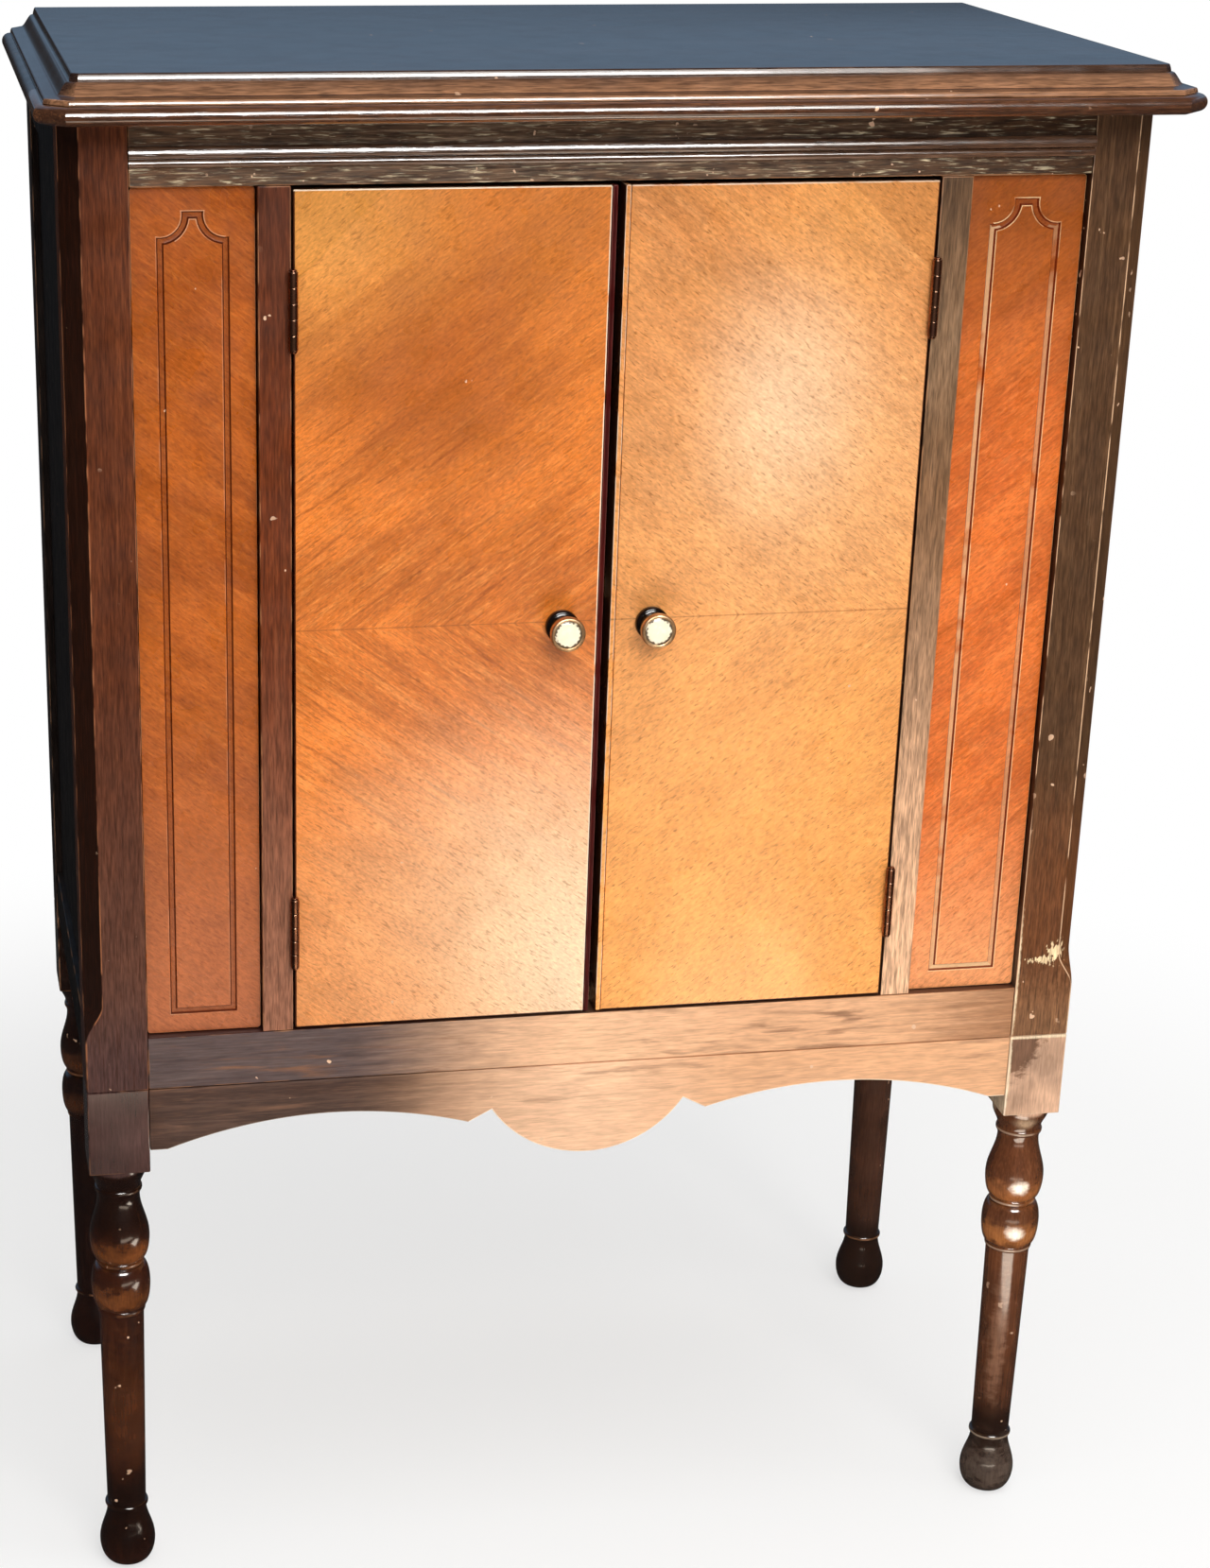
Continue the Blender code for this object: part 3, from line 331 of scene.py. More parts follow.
def spinLine(bm, points, centre, axis, turns):
    # turns a lathe line about an axis through the centre; "Y" turns stand out towards the front
    ways = {"Z": (Vector((0, 0, 1)), (0, 0, 1)), "Y": (Vector((0, -1, 0)), (0, 1, 0))}
    out, about = ways[axis]
    verts = [bm.verts.new(Vector(centre) + Vector((r, 0, 0)) + a * out) for r, a in points]
    edges = [bm.edges.new(pair) for pair in zip(verts, verts[1:])]
    bmesh.ops.spin(bm, geom=verts + edges, cent=centre, axis=about, dvec=(0, 0, 0), angle=2 * math.pi, steps=turns,
        use_merge=True, use_duplicate=False)
    bmesh.ops.remove_doubles(bm, verts=bm.verts[:], dist=0.002 * mm)


def newObject(name, data):
    made = bpy.data.objects.new(name, data)
    scene.collection.objects.link(made)
    return made


def finishPiece(name, bm, material, node, body="carcase", sharp=30):
    # smooth shading within a surface, a hard line where an arris meets a flat
    flat = math.radians(0.1)
    bmesh.ops.recalc_face_normals(bm, faces=bm.faces[:])
    arris = bm.faces.layers.float["arris"]
    for edge in bm.edges:
        alike = len({face[arris] for face in edge.link_faces}) == 1
        edge.smooth = edge.calc_face_angle(0) < math.radians(sharp) and alike
    for face in bm.faces:
        face.smooth = any(edge.smooth and edge.calc_face_angle(0) > flat for edge in face.edges)
    mesh = bpy.data.meshes.new(name)
    bm.to_mesh(mesh)
    bm.free()
    mesh.materials.append(material)
    piece = newObject(name, mesh)
    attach(piece, body)
    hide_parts(node)


def boardPiece(name, low, high, width, material, node, body="carcase", dark=(0, 0, 0)):
    # an eased board, with painted shadow and dirt on the faces that look the dark way
    towards = 0.6
    bm = newMesh()
    addBox(bm, low, high)
    ease(bm, width)
    bm.normal_update()
    mark(bm, "groove", lambda normal, at: normal.dot(Vector(dark)) > towards)
    finishPiece(name, bm, material, node, body)


# faces and levels shared by the pieces, read from the CAD
postLow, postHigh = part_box("front_left_post")
topLow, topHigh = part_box("top_board")
frontY, postRear = postLow.y, postHigh.y
halfWidth, postInner = -postLow.x, -postHigh.x
backY = topHigh.y
postBottom, postTop = postLow.z, postHigh.z
railFront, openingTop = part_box("front_top_rail")[0].y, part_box("front_top_rail")[0].z
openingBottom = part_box("front_bottom_rail")[1].z
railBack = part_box("front_top_rail")[1].y
legTop = postBottom - gap
reach = postInner - gap
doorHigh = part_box("right_door")[1]
stileInner, stileOuter = 203 * mm, 223.2 * mm  # the stiles' edges, out from the middle
print("levels read")


# stained oak-brown wood of the frame: a matt brown with fine open grain, pale where it is rubbed
frameLook = dict(
    tones="#2b1a12 #4d3222 #7a5d47", fades=(),
    turn=(0, 0, 0), shift=0.0, wavers=dict(band=0.3, streak=0.3, smear=0.6),  # degrees, start, waves
    band=(260, 22), streak=(110, 4.5), fibre=(45, 1.2), pore=(16, 0.8), fleck=(16, 1.5),  # mm along, across
    smear=None, blotch=None,
    bands=0.35, lights=0.6, darks=0.6, fibres=0.5, pores=0.5, flecks=0.42, clouds=0.08,  # shares
    poreRange=(0.52, 0.68), poreHex=None, smearUnder=False, seam=None, leaf=None, lineHex=None,
    rub=0.55, rubHex="#b98055", rubRange=(0.42, 0.6), nicks=0.735, nickHex="#dcb595", nickScale=120.0,
    rough=(0.3, 0.42), coat=0.12, coatRough=0.2, spec=0.35, relief=0.25)
upright, inward = (0, 90, 0), (0, 0, 90)  # turns the grain from level to upright, or to run from front to back


def frameWood(name, **changes):
    return wood(name, {**frameLook, **changes})


# thick old varnish on turned wood: near black in the hollows, painted amber reflections and glints on the vase and
# ball, a painted glare on the right block
legLook = dict(turn=upright, rough=(0.12, 0.24), coat=1.0, coatRough=0.08, spec=0.6, nicks=0.715, blotch=(5, 9),
    clouds=0.3, lights=0.25, darks=0.3, fibres=0.2, pores=0.15, flecks=0.2)
legWood = {
    "left": frameWood("glossy turned dark wood", **legLook, tones="#170a06 #39190b #5c311a", rub=0.2, fades=[
        fade((0, 0, 0.292), (far, far, 0.04), "#120804", 0.8, core=0.4),
        # painted reflection: amber on the lower halves of the vase and the ball
        fade((0, 0, 0.25), (far, far, 0.014), "#8a5026", 0.6, ragged=1.5),
        fade((0, 0, 0.2165), (far, far, 0.013), "#8a5026", 0.55, ragged=1.5),
        fade((0, 0, 0.13), (far, far, 0.09), "#6b3c1f", 0.4, ragged=1.6),
        fade((0, 0, 0.045), (far, far, 0.05), "#140a06", 0.8, core=0.3),
        fade((-0.32, -0.152, 0.346), (0.1, 0.03, 0.036), "#4c3531", 0.9, core=0.9, ragged=0.05)]),
    "back": frameWood("dark turned back leg", **legLook, tones="#0e0604 #241009 #452415", rub=0.6, fades=[
        # painted reflection: amber on the lower halves of the vase and the ball
        fade((0, 0, 0.25), (far, far, 0.014), "#6e3f20", 0.5, ragged=1.5),
        fade((0, 0, 0.2165), (far, far, 0.013), "#6e3f20", 0.5, ragged=1.5),
        fade((0.32, 0.17, 0.16), (0.1, 0.1, 0.24), "#5a3a2a", 0.75),
        fade((0.32, 0.17, 0.02), (0.1, 0.1, 0.05), "#24150d", 0.8, core=0.6)]),
    "right": frameWood(
        "glossy turned dark wood with painted glints and glare", **legLook, tones="#2e170c #623820 #8a5c3e", rub=0.3,
        # the pale arris colour here also paints highlight lines on the rings
        rubRange=(0.3, 0.45), rubHex="#ecd0b2", fades=[
            # painted reflection: amber on the lower halves of the vase and the ball
            fade((0, 0, 0.25), (far, far, 0.014), "#ad6a38", 0.8, ragged=1.5),
            fade((0, 0, 0.2165), (far, far, 0.013), "#b3703a", 0.8, ragged=1.5),
            # painted highlights: small bright spots on the vase and the ball
            fade((0.318, -0.152, 0.256), (0.0085, 0.0085, 0.0075), "#fff0dc", 1.0, core=0.2, ragged=0.9),
            fade((0.318, -0.152, 0.219), (0.0085, 0.0085, 0.007), "#fff0dc", 1.0, core=0.2, ragged=0.9),
            fade((0.32, -0.15, 0.04), (0.1, 0.1, 0.12), "#3a2217", 0.6),
            # painted highlight on the cup
            fade((0.318, -0.15, 0.306), (0.012, 0.012, 0.007), "#d9b894", 0.7),
            # painted glare: the block pale
            fade((0.3205, -0.152, 0.352), (0.09, 0.022, 0.0415), "#d6ac8e", 0.97, core=0.9, ragged=0.05),
            fade((0.3, -0.152, 0.376), (0.028, far, 0.034), "#6b4833", 0.85, core=0.7, ragged=0.9),
            fade((0, 0, legTop), (far, far, 2.6 * mm), "#f3dcb8", 0.95, core=0.5, ragged=0.8),
            fade((postInner, 0, 0.352), (2.4 * mm, far, 0.05), "#f3dcb8", 0.9, core=0.5, ragged=0.8),
            # painted highlight: a soft upright stripe down the column
            fade((0.3145, -0.146, 0.13), (0.008, 0.02, 0.09), "#a5785c", 0.5, ragged=1.5),
            fade((0, 0, 0.03), (far, far, 0.05), "#1c110b", 0.85, core=0.6),
            fade((0, 0, 0.02), (far, far, 0.03), "#6b5b50", 0.6, ragged=2.0)])}


def makeLegs():
    # block, cup, vase and ball over a slim tapered column with a pear foot; sizes in mm up from the floor
    leg = dict(line="line 0 0, line 10.4 0, line 11 0.3, swell 19.6 17, wave 13.6 45, swell 15.2 47, fall 13.6 49, "
        "line 13.6 50, line 15.4 202, swell 16.6 204, fall 16.0 206, swell 20.3 223.5, fall 15.6 239, "
        "swell 16.4 241, fall 15.6 243, swell 20.5 260, wave 14.4 291, line 15.2 294.5, swell 16.2 296.5, "
        "fall 15.2 298.5, wave 19.8 313, line 19.8 318, line 0 318",
        ringHighlights=((46.2, 47.6), (203.2, 204.6), (240.2, 241.6), (295.8, 297.2)),
        steps=8, turns=72, blockBottom=315 * mm, ease=0.9 * mm, sharp=40)
    half = (halfWidth - postInner) / 2
    for row in ("front", "back"):
        for hand in sides:
            low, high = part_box(f"{row}_{hand}_leg")
            x, y = (low.x + high.x) / 2, (low.y + high.y) / 2
            bm = newMesh()
            spinLine(bm, turnedLine(leg["line"], leg["steps"]), (x, y, 0), "Z", leg["turns"])
            # painted highlight lines on the rings, given as arris marks
            mark(bm, "arris", lambda normal, at: any(start < at.z / mm < end for start, end in leg["ringHighlights"]))
            block = newMesh()
            addBox(block, (x - half, y - half, leg["blockBottom"]), (x + half, y + half, legTop))
            ease(block, leg["ease"])
            extra = bpy.data.meshes.new("block")
            block.to_mesh(extra)
            block.free()
            bm.from_mesh(extra)
            bpy.data.meshes.remove(extra)
            finishPiece(f"{row}{hand.title()}Leg", bm, legWood["back" if row == "back" else hand], f"{row}_{hand}_leg",
                sharp=leg["sharp"])


makeLegs()
print("legs turned")


# dull stain on the posts: red-brown on the left, faded brown with pale chips on the right, near black with painted
# shade behind
postLook = dict(turn=upright, spec=0.15, coat=0.0)
postWood = {
    "left": frameWood("red-brown stained post", **postLook, tones="#3a190b #5f2f16 #6f3c20", rub=0.5,
        # lineHex: painted shade on the chamfer and painted shadow against the panel
        rubHex="#c07a50", lineHex="#160a06", fades=[
            fade((-0.32, -0.152, 0.38), (far, far, 0.36), "#5a3a2e", 0.9),
            fade((-0.32, -0.152, 0.385), (far, far, 0.08), "#4b3330", 0.9)]),
    "right": frameWood("dull brown stained post", **postLook, tones="#3b2718 #563b26 #6a4d34", rub=0.9,
        # lineHex: painted shadow on the side against the panel
        rubHex="#d8b08c", rubRange=(0.34, 0.5), nicks=0.70, lineHex="#2a0d06", blotch=(5, 2.5), fades=[
            fade((0.32, -0.152, 0.39), (0.2, 0.2, 0.05), "#a97b57", 0.5, ragged=1.2),
            fade((0.32, -0.152, 0.47), (0.2, 0.2, 0.13), "#7d4826", 0.6),
            fade((postInner, 0, 0.42), (2.2 * mm, far, 0.06), "#f0d6b0", 0.9, core=0.4, ragged=1.0),
            fade((0.328, frontY, 0.44), (0.006, 0.01, 0.0065), "#f0d3a6", 0.95, core=0.6, ragged=5.0),
            fade((0.32, frontY, 0.434), (0.011, 0.01, 0.003), "#f0d3a6", 0.95, core=0.6, ragged=5.0)])}
# back posts near black with painted shade
backPostWood = frameWood("near-black back post with painted shade", turn=upright, tones="#140c08 #231611 #38271f", nicks=0.77, rub=0.4)


def makePosts():
    # square below, with a chamfer on the outer front edge that starts in a curved stop
    post = dict(chamfer=12 * mm, eased=0.7 * mm, stopRise=36 * mm, stopLength=27 * mm, stopSteps=16,
        ease=0.6 * mm, slant=0.4, square=0.9)
    for hand, side in sides.items():
        stop = postBottom + post["stopRise"]
        levels = [(postBottom, post["eased"]), (stop, post["eased"])]
        for i in range(1, post["stopSteps"] + 1):
            t = i / post["stopSteps"]
            levels.append((stop + post["stopLength"] * t,
                post["eased"] + (post["chamfer"] - post["eased"]) * (1 - math.cos(math.pi * t)) / 2))
        levels.append((postTop, post["chamfer"]))
        bm = newMesh()
        sweep(bm, [[(side * postInner, frontY, z), (side * (halfWidth - c), frontY, z),
            (side * halfWidth, frontY + c, z), (side * halfWidth, postRear, z),
            (side * postInner, postRear, z)] for z, c in levels])
        bmesh.ops.recalc_face_normals(bm, faces=bm.faces[:])
        # painted shade on the left chamfer, and painted shadow on the sides against the panels
        mark(bm, "groove", lambda normal, at: normal.x * side < -post["square"]
            or side < 0 and abs(normal.x) > post["slant"] and abs(normal.y) > post["slant"])
        ease(bm, post["ease"])
        finishPiece(f"front{hand.title()}Post", bm, postWood[hand], f"front_{hand}_post")
        low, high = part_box(f"back_{hand}_post")
        boardPiece(f"back{hand.title()}Post", low, high, post["ease"], backPostWood, f"back_{hand}_post")


makePosts()
print("posts made")


# top: almost black, polished enough to mirror the room, browner along its front edge, with a painted shadow line at the
# foot of its moulding
topWood = frameWood("dark glossy top", tones="#1d1210 #2e1f1a #46342c", band=(420, 40), streak=(220, 6),
    rough=(0.1, 0.2), coat=0.6, coatRough=0.06, rub=0.35, rubHex="#8a6a55", relief=0.12, nicks=0.76,
    lineHex="#2a140a", fades=[fade((0, -0.202, 1.02), (far, 0.025, far), "#94694b", 0.9, core=0.5)])
# mouldings: dark brown with a bright line of light along the round
glossLook = dict(rough=(0.12, 0.2), coat=1.0, coatRough=0.05, spec=0.8)
corniceWood = frameWood("dark rubbed moulding", **glossLook, tones="#2a170e #51311f #6d4a32")
# side moulding near black with painted shade
sideCorniceWood = frameWood("dark rubbed side moulding with painted shade", turn=inward, tones="#140c08 #2a1a14 #433029",
    rough=(0.16, 0.3), coat=0.5, coatRough=0.12, fibre=(160, 1.2), pore=(60, 0.8), relief=0.1)


def roundOver(start, runs, steps):
    # points up a moulded face, drawn in from the start: (radius, first, last) arcs by the lean of the face in degrees
    points = [start]
    for radius, first, last in runs:
        inset, z = points[-1]
        begin = math.radians(first)
        for i in range(1, steps + 1):
            lean = math.radians(first + (last - first) * i / steps)
            points.append((inset + radius * (math.cos(begin) - math.cos(lean)),
                z + radius * (math.sin(lean) - math.sin(begin))))
    return points


def makeTop():
    # a moulded edge over a half-round nose, drawn in from the nose; the front corners are cut across
    top = dict(overhangSide=15.3 * mm, overhangFront=50 * mm, cant=4.4 * mm, ledgeInset=5.9 * mm, ledgeWidth=7.3 * mm,
        ledgeHeight=3 * mm, ledgeSlope=0.9 * mm, ogeeWidth=8 * mm, filletStep=1.1 * mm, filletHeight=4.6 * mm,
        eased=0.6 * mm, ledgeFace=((7 * mm, 4, 22), (1.39 * mm, 22, 90)),
        filletFace=((13 * mm, 6, 24), (1.13 * mm, 24, 90)), ogeeSteps=14, roundSteps=8, noseSteps=16,
        noseThickness=11 * mm, paintedShadowHeight=1.4 * mm, sharp=24)
    shrink = 2 - math.sqrt(2)  # a cut corner grows by this much as the outline draws in
    ledgeBack = top["ledgeInset"] + top["ledgeWidth"]
    fillet = ledgeBack + top["ogeeWidth"] + top["filletStep"]
    wide, near = halfWidth + top["overhangSide"], frontY - top["overhangFront"]

    def outline(inset, z, rear):
        w, n, c = wide - inset, near + inset, top["cant"] + shrink * (fillet - inset)
        return [(-w, rear, z), (-w, n + c, z), (c - w, n, z), (w - c, n, z), (w, n + c, z), (w, rear, z)]

    shoulder = topLow.z + top["ledgeHeight"]
    foot, head = shoulder + top["ledgeSlope"], topHigh.z - top["filletHeight"]
    levels = roundOver((top["ledgeInset"], topLow.z), top["ledgeFace"], top["roundSteps"])
    for i in range(top["ogeeSteps"] + 1):
        t = i / top["ogeeSteps"]
        levels.append((ledgeBack + top["ogeeWidth"] * t, foot + (head - foot) * (1 - math.cos(math.pi * t)) / 2))
    levels += roundOver((fillet - top["eased"], head), top["filletFace"], top["roundSteps"])
    levels[-1] = (levels[-1][0], topHigh.z)
    bm = newMesh()
    sweep(bm, [outline(inset, z, backY) for inset, z in levels])
    # painted shadow along the foot of the moulding
    mark(bm, "groove", lambda normal, at: 0 < at.z - shoulder < top["paintedShadowHeight"])
    finishPiece("topBoard", bm, topWood, "top_board", sharp=top["sharp"])

    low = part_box("cornice_front")[0].z
    radius = top["noseThickness"] / 2
    nose = []
    for i in range(top["noseSteps"] + 1):
        a = math.pi * (i / top["noseSteps"] - 0.5)
        nose.append((radius - radius * math.cos(a), low + radius + radius * math.sin(a)))
    bm = newMesh()
    sweep(bm, [outline(inset, z, postRear) for inset, z in nose])
    finishPiece("corniceFront", bm, corniceWood, "cornice_front")
    for hand, side in sides.items():
        bm = newMesh()
        sweep(bm, [[(side * (wide - inset), postRear + gap, z), (side * (wide - inset), backY, z),
            (side * postInner, backY, z), (side * postInner, postRear + gap, z)] for inset, z in nose])
        finishPiece(f"cornice{hand.title()}", bm, sideCorniceWood, f"cornice_{hand}")


makeTop()
print("top made")


# top rail: grey-brown, covered with short pale scratches, darker at its ends
topRailWood = frameWood("scratched grey-brown rail", tones="#33241b #5e4532 #8f7760", lights=0.75, streak=(90, 3),
    relief=0.35, spec=0.25, coat=0.05, nicks=0.70, nickScale=170.0, flecks=0.55, smear=(15, 1.3), smears=0.85,
    smearHex="#d2c3a2", fades=[
        fade((0.29, -0.15, 0.98), (0.22, far, far), "#402815", 0.92, ragged=0.8),
        fade((-0.29, -0.15, 0.98), (0.1, far, far), "#64462f", 0.7, ragged=0.8)])
mouldingWood = frameWood("rubbed bead moulding", **glossLook, tones="#3a2417 #5f4230 #7d5f4a")
# bottom rail and apron: dull grey-brown on the left, with a painted glare in pale peach from the middle to the right
paleLook = dict(darks=0.6, pores=0.15, spec=0.25, coat=0.05)
# painted glare, strongest low in the middle and to the right
paintedGlare = fade((0.15, -0.15, 0.39), (0.33, far, far), "#dfaa80", 0.97, core=0.4)
bottomRailWood = frameWood("bottom rail with painted glare", **paleLook, tones="#423433 #594948 #6a5a55", flecks=0.18,
    streak=(120, 3.5), poreHex="#7a4f35", smear=(75, 9), smears=0.75, smearHex="#80573d",
    # lineHex: painted shadow on the top face, under the recessed panels
    lineHex="#33120a", fades=[
        # more painted glare in the middle
        paintedGlare, fade((-0.01, -0.15, 0.4), (0.15, far, far), "#f3c6a0", 0.45),
        fade((0.31, -0.15, 0.39), (0.11, far, far), "#8a5a38", 0.75, ragged=1.2)])
apronWood = frameWood("apron with painted glare", **paleLook, tones="#3e2c26 #4d382f #644b3f", flecks=0.16, streak=(120, 4),
    poreHex="#8a6044", smear=(90, 8), smears=0.6, smearHex="#8a634b", rub=0.9, rubHex="#fbe6cc",
    rubRange=(0.25, 0.45), fades=[
        # painted glare, more in the middle
        paintedGlare, fade((-0.01, -0.15, 0.33), (0.13, far, far), "#f4caa8", 0.55)])
# stiles: satin stain, paler downwards; on the right a painted glare low down and a small painted highlight high up
stileLook = dict(turn=upright, lineHex="#2a0d06", spec=0.2, coat=0.0)
stileWood = {
    "left": frameWood("stained left stile", **stileLook, tones="#4d220d #6b3012 #7c4323", fades=[
        fade((-0.213, -0.15, 0.98), (far, far, 0.24), "#552a16", 0.8),
        fade((-0.213, -0.15, 0.4), (far, far, 0.32), "#8f5f48", 0.95)]),
    "right": frameWood("right stile with painted glare", **stileLook, tones="#543d29 #704f33 #856142", smear=(60, 4),
        smears=0.5, smearHex="#5c4029", fades=[
            fade((0.213, -0.15, 1.0), (far, far, 0.15), "#503e2e", 0.7),
            # painted highlight high up, and a painted glare low down
            fade((0.213, -0.15, 0.86), (far, far, 0.1), "#9d846a", 0.3),
            fade((0.213, -0.15, 0.4), (far, far, 0.42), "#e6b690", 1.0)])}


def makeFrontFrame():
    rail = dict(ease=0.7 * mm, mouldingBase=1.0 * mm, beadSteps=12, largeHeight=7.4 * mm, largeOut=4.1 * mm,
        quirk=0.4 * mm, smallOut=3.0 * mm, largeBead=((2.2 * mm, -90, 6), (11 * mm, 6, 25), (2.55 * mm, 25, 90)))
    boardPiece("frontTopRail", (-reach, railFront, openingTop), (reach, railBack, postTop), rail["ease"], topRailWood,
        "front_top_rail")
    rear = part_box("front_bottom_rail")[1].y
    boardPiece("frontBottomRail", (-reach, railFront, postBottom), (reach, rear, openingBottom), rail["ease"],
        # painted shadow on the top face
        bottomRailWood, "front_bottom_rail", dark=(0, 0, 1))
    # a strip run with a large bead over a small one, a quirk between them
    low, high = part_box("front_rail_moulding")
    out = railFront - rail["largeOut"] + rail["largeBead"][0][0]
    large = roundOver((out, high.z - rail["largeHeight"]), rail["largeBead"], rail["beadSteps"])
    large[-1] = (large[-1][0], high.z)
    profile = [(railFront - gap, high.z)] + large[::-1]
    top = high.z - rail["largeHeight"] - rail["quirk"]
    for i in range(rail["beadSteps"] + 1):
        a = math.pi * i / rail["beadSteps"]
        profile.append((railFront - rail["mouldingBase"] - (rail["smallOut"] - rail["mouldingBase"]) * math.sin(a),
            (top + low.z) / 2 + (top - low.z) / 2 * math.cos(a)))
    profile.append((railFront - gap, low.z))
    bm = newMesh()
    sweep(bm, [[(x, y, z) for y, z in profile] for x in (-reach, reach)])
    finishPiece("railMoulding", bm, mouldingWood, "front_rail_moulding")
    for hand, side in sides.items():
        left, right = sorted((side * stileInner, side * stileOuter))
        boardPiece(f"{hand}Stile", (left, railFront, openingBottom + gap), (right, railBack, openingTop - gap),
            # painted shadow on the face that looks left, beside the gap or recess
            rail["ease"], stileWood[hand], f"{hand}_inner_stile", dark=(-1, 0, 0))


makeFrontFrame()
print("front frame made")


def makeApron():
    # a round lobe in the middle between two points, and a flat arch to each side; heights down from the blocks' tops
    apron = dict(thickness=18 * mm, endHeight=45 * mm, endFlat=12 * mm, archRise=16.5 * mm, pointHeight=39 * mm,
        pointAcross=83 * mm, peakHeight=30.5 * mm, peakAcross=67 * mm, lobeHeight=67 * mm, steps=28,
        ease=0.8 * mm, least=30, darkEndRub=0.3)
    drop = apron["lobeHeight"] - apron["peakHeight"]
    radius = (apron["peakAcross"] ** 2 + drop ** 2) / (2 * drop)
    lobeAngle = math.asin(apron["peakAcross"] / radius)
    right = []
    for i in range(apron["steps"] + 1):
        a = lobeAngle * i / apron["steps"]
        right.append((radius * math.sin(a), apron["lobeHeight"] - radius + radius * math.cos(a)))
    right.append((apron["pointAcross"], apron["pointHeight"]))
    archEnd = postInner - apron["endFlat"]
    for i in range(1, apron["steps"] + 1):
        t = i / apron["steps"]
        chord = apron["pointHeight"] + (apron["endHeight"] - apron["pointHeight"]) * t
        right.append((apron["pointAcross"] + (archEnd - apron["pointAcross"]) * t,
            chord - apron["archRise"] * (1 - (2 * t - 1) ** 2)))
    right += [(reach, apron["endHeight"]), (reach, gap)]
    outline = right + [(-x, z) for x, z in right[:0:-1]]
    bm = newMesh()
    sweep(bm, [[(x, y, legTop - z) for x, z in outline] for y in (railFront, railFront + apron["thickness"])])
    bmesh.ops.recalc_face_normals(bm, faces=bm.faces[:])
    ease(bm, apron["ease"], apron["least"])
    for face in bm.faces:  # the edges against the rail and the blocks are not rubbed, and the dark end hardly
        at = face.calc_center_median()
        if at.z > legTop - 4 * apron["ease"] or abs(at.x) > reach - 2 * apron["ease"]:
            face[bm.faces.layers.float["arris"]] = 0.0
        elif at.x < -apron["pointAcross"]:
            face[bm.faces.layers.float["arris"]] *= apron["darkEndRub"]
    finishPiece("scallopedApron", bm, apronWood, "front_apron")


makeApron()
print("apron made")


# figured walnut veneer under a satin varnish: warm orange with slanting figure and short dark pores
veneerLook = dict(
    frameLook, band=(150, 30), streak=(60, 5), fibre=(13, 1.3), pore=(6, 1.2), fleck=(4, 1.5),
    wavers=dict(band=0.5, streak=0.5, smear=0.6), bands=0.55, lights=0.42, darks=0.3, fibres=0.45,
    pores=0.36, flecks=0.2, clouds=0.1, poreRange=(0.6, 0.67), poreHex="#7a4218", smearUnder=True,
    rubHex="#e9b48a", nicks=0.78, rough=(0.24, 0.36), coat=0.15, coatRough=0.16, spec=0.3, relief=0.2)


def veneer(name, **changes):
    return wood(name, {**veneerLook, **changes})


# redder on the panels, the routed line darkened, a painted reflection low down
panelLook = dict(band=(90, 26), pores=0.35, smear=(55, 9), smears=0.5)
panelWood = {
    "left": veneer("red-brown figured panel veneer", **panelLook, turn=(0, 38, 0), tones="#8a400e #b25a16 #c06c28",
        rub=0.5, lineHex="#4a1406", poreHex="#6b2c0c", smearHex="#8a3f0e",
        # painted reflection: paler low down
        fades=[fade((-0.26, -0.15, 0.4), (far, far, 0.3), "#ac6038", 0.85)]),
    "right": veneer("orange figured panel veneer", **panelLook, turn=(0, -38, 0), tones="#b3521c #dc7230 #e88745",
        shift=2.0, rub=0.7, rubHex="#f6d3a0", rubRange=(0.3, 0.5), lineHex="#6e2208",
        poreHex="#8f4014", smearHex="#a04e18", fades=[
            fade((0.26, -0.15, 0.98), (far, far, 0.22), "#8c4816", 0.95),
            # painted reflection: paler low down
            fade((0.26, -0.15, 0.4), (far, far, 0.17), "#ec9f68", 0.85)])}


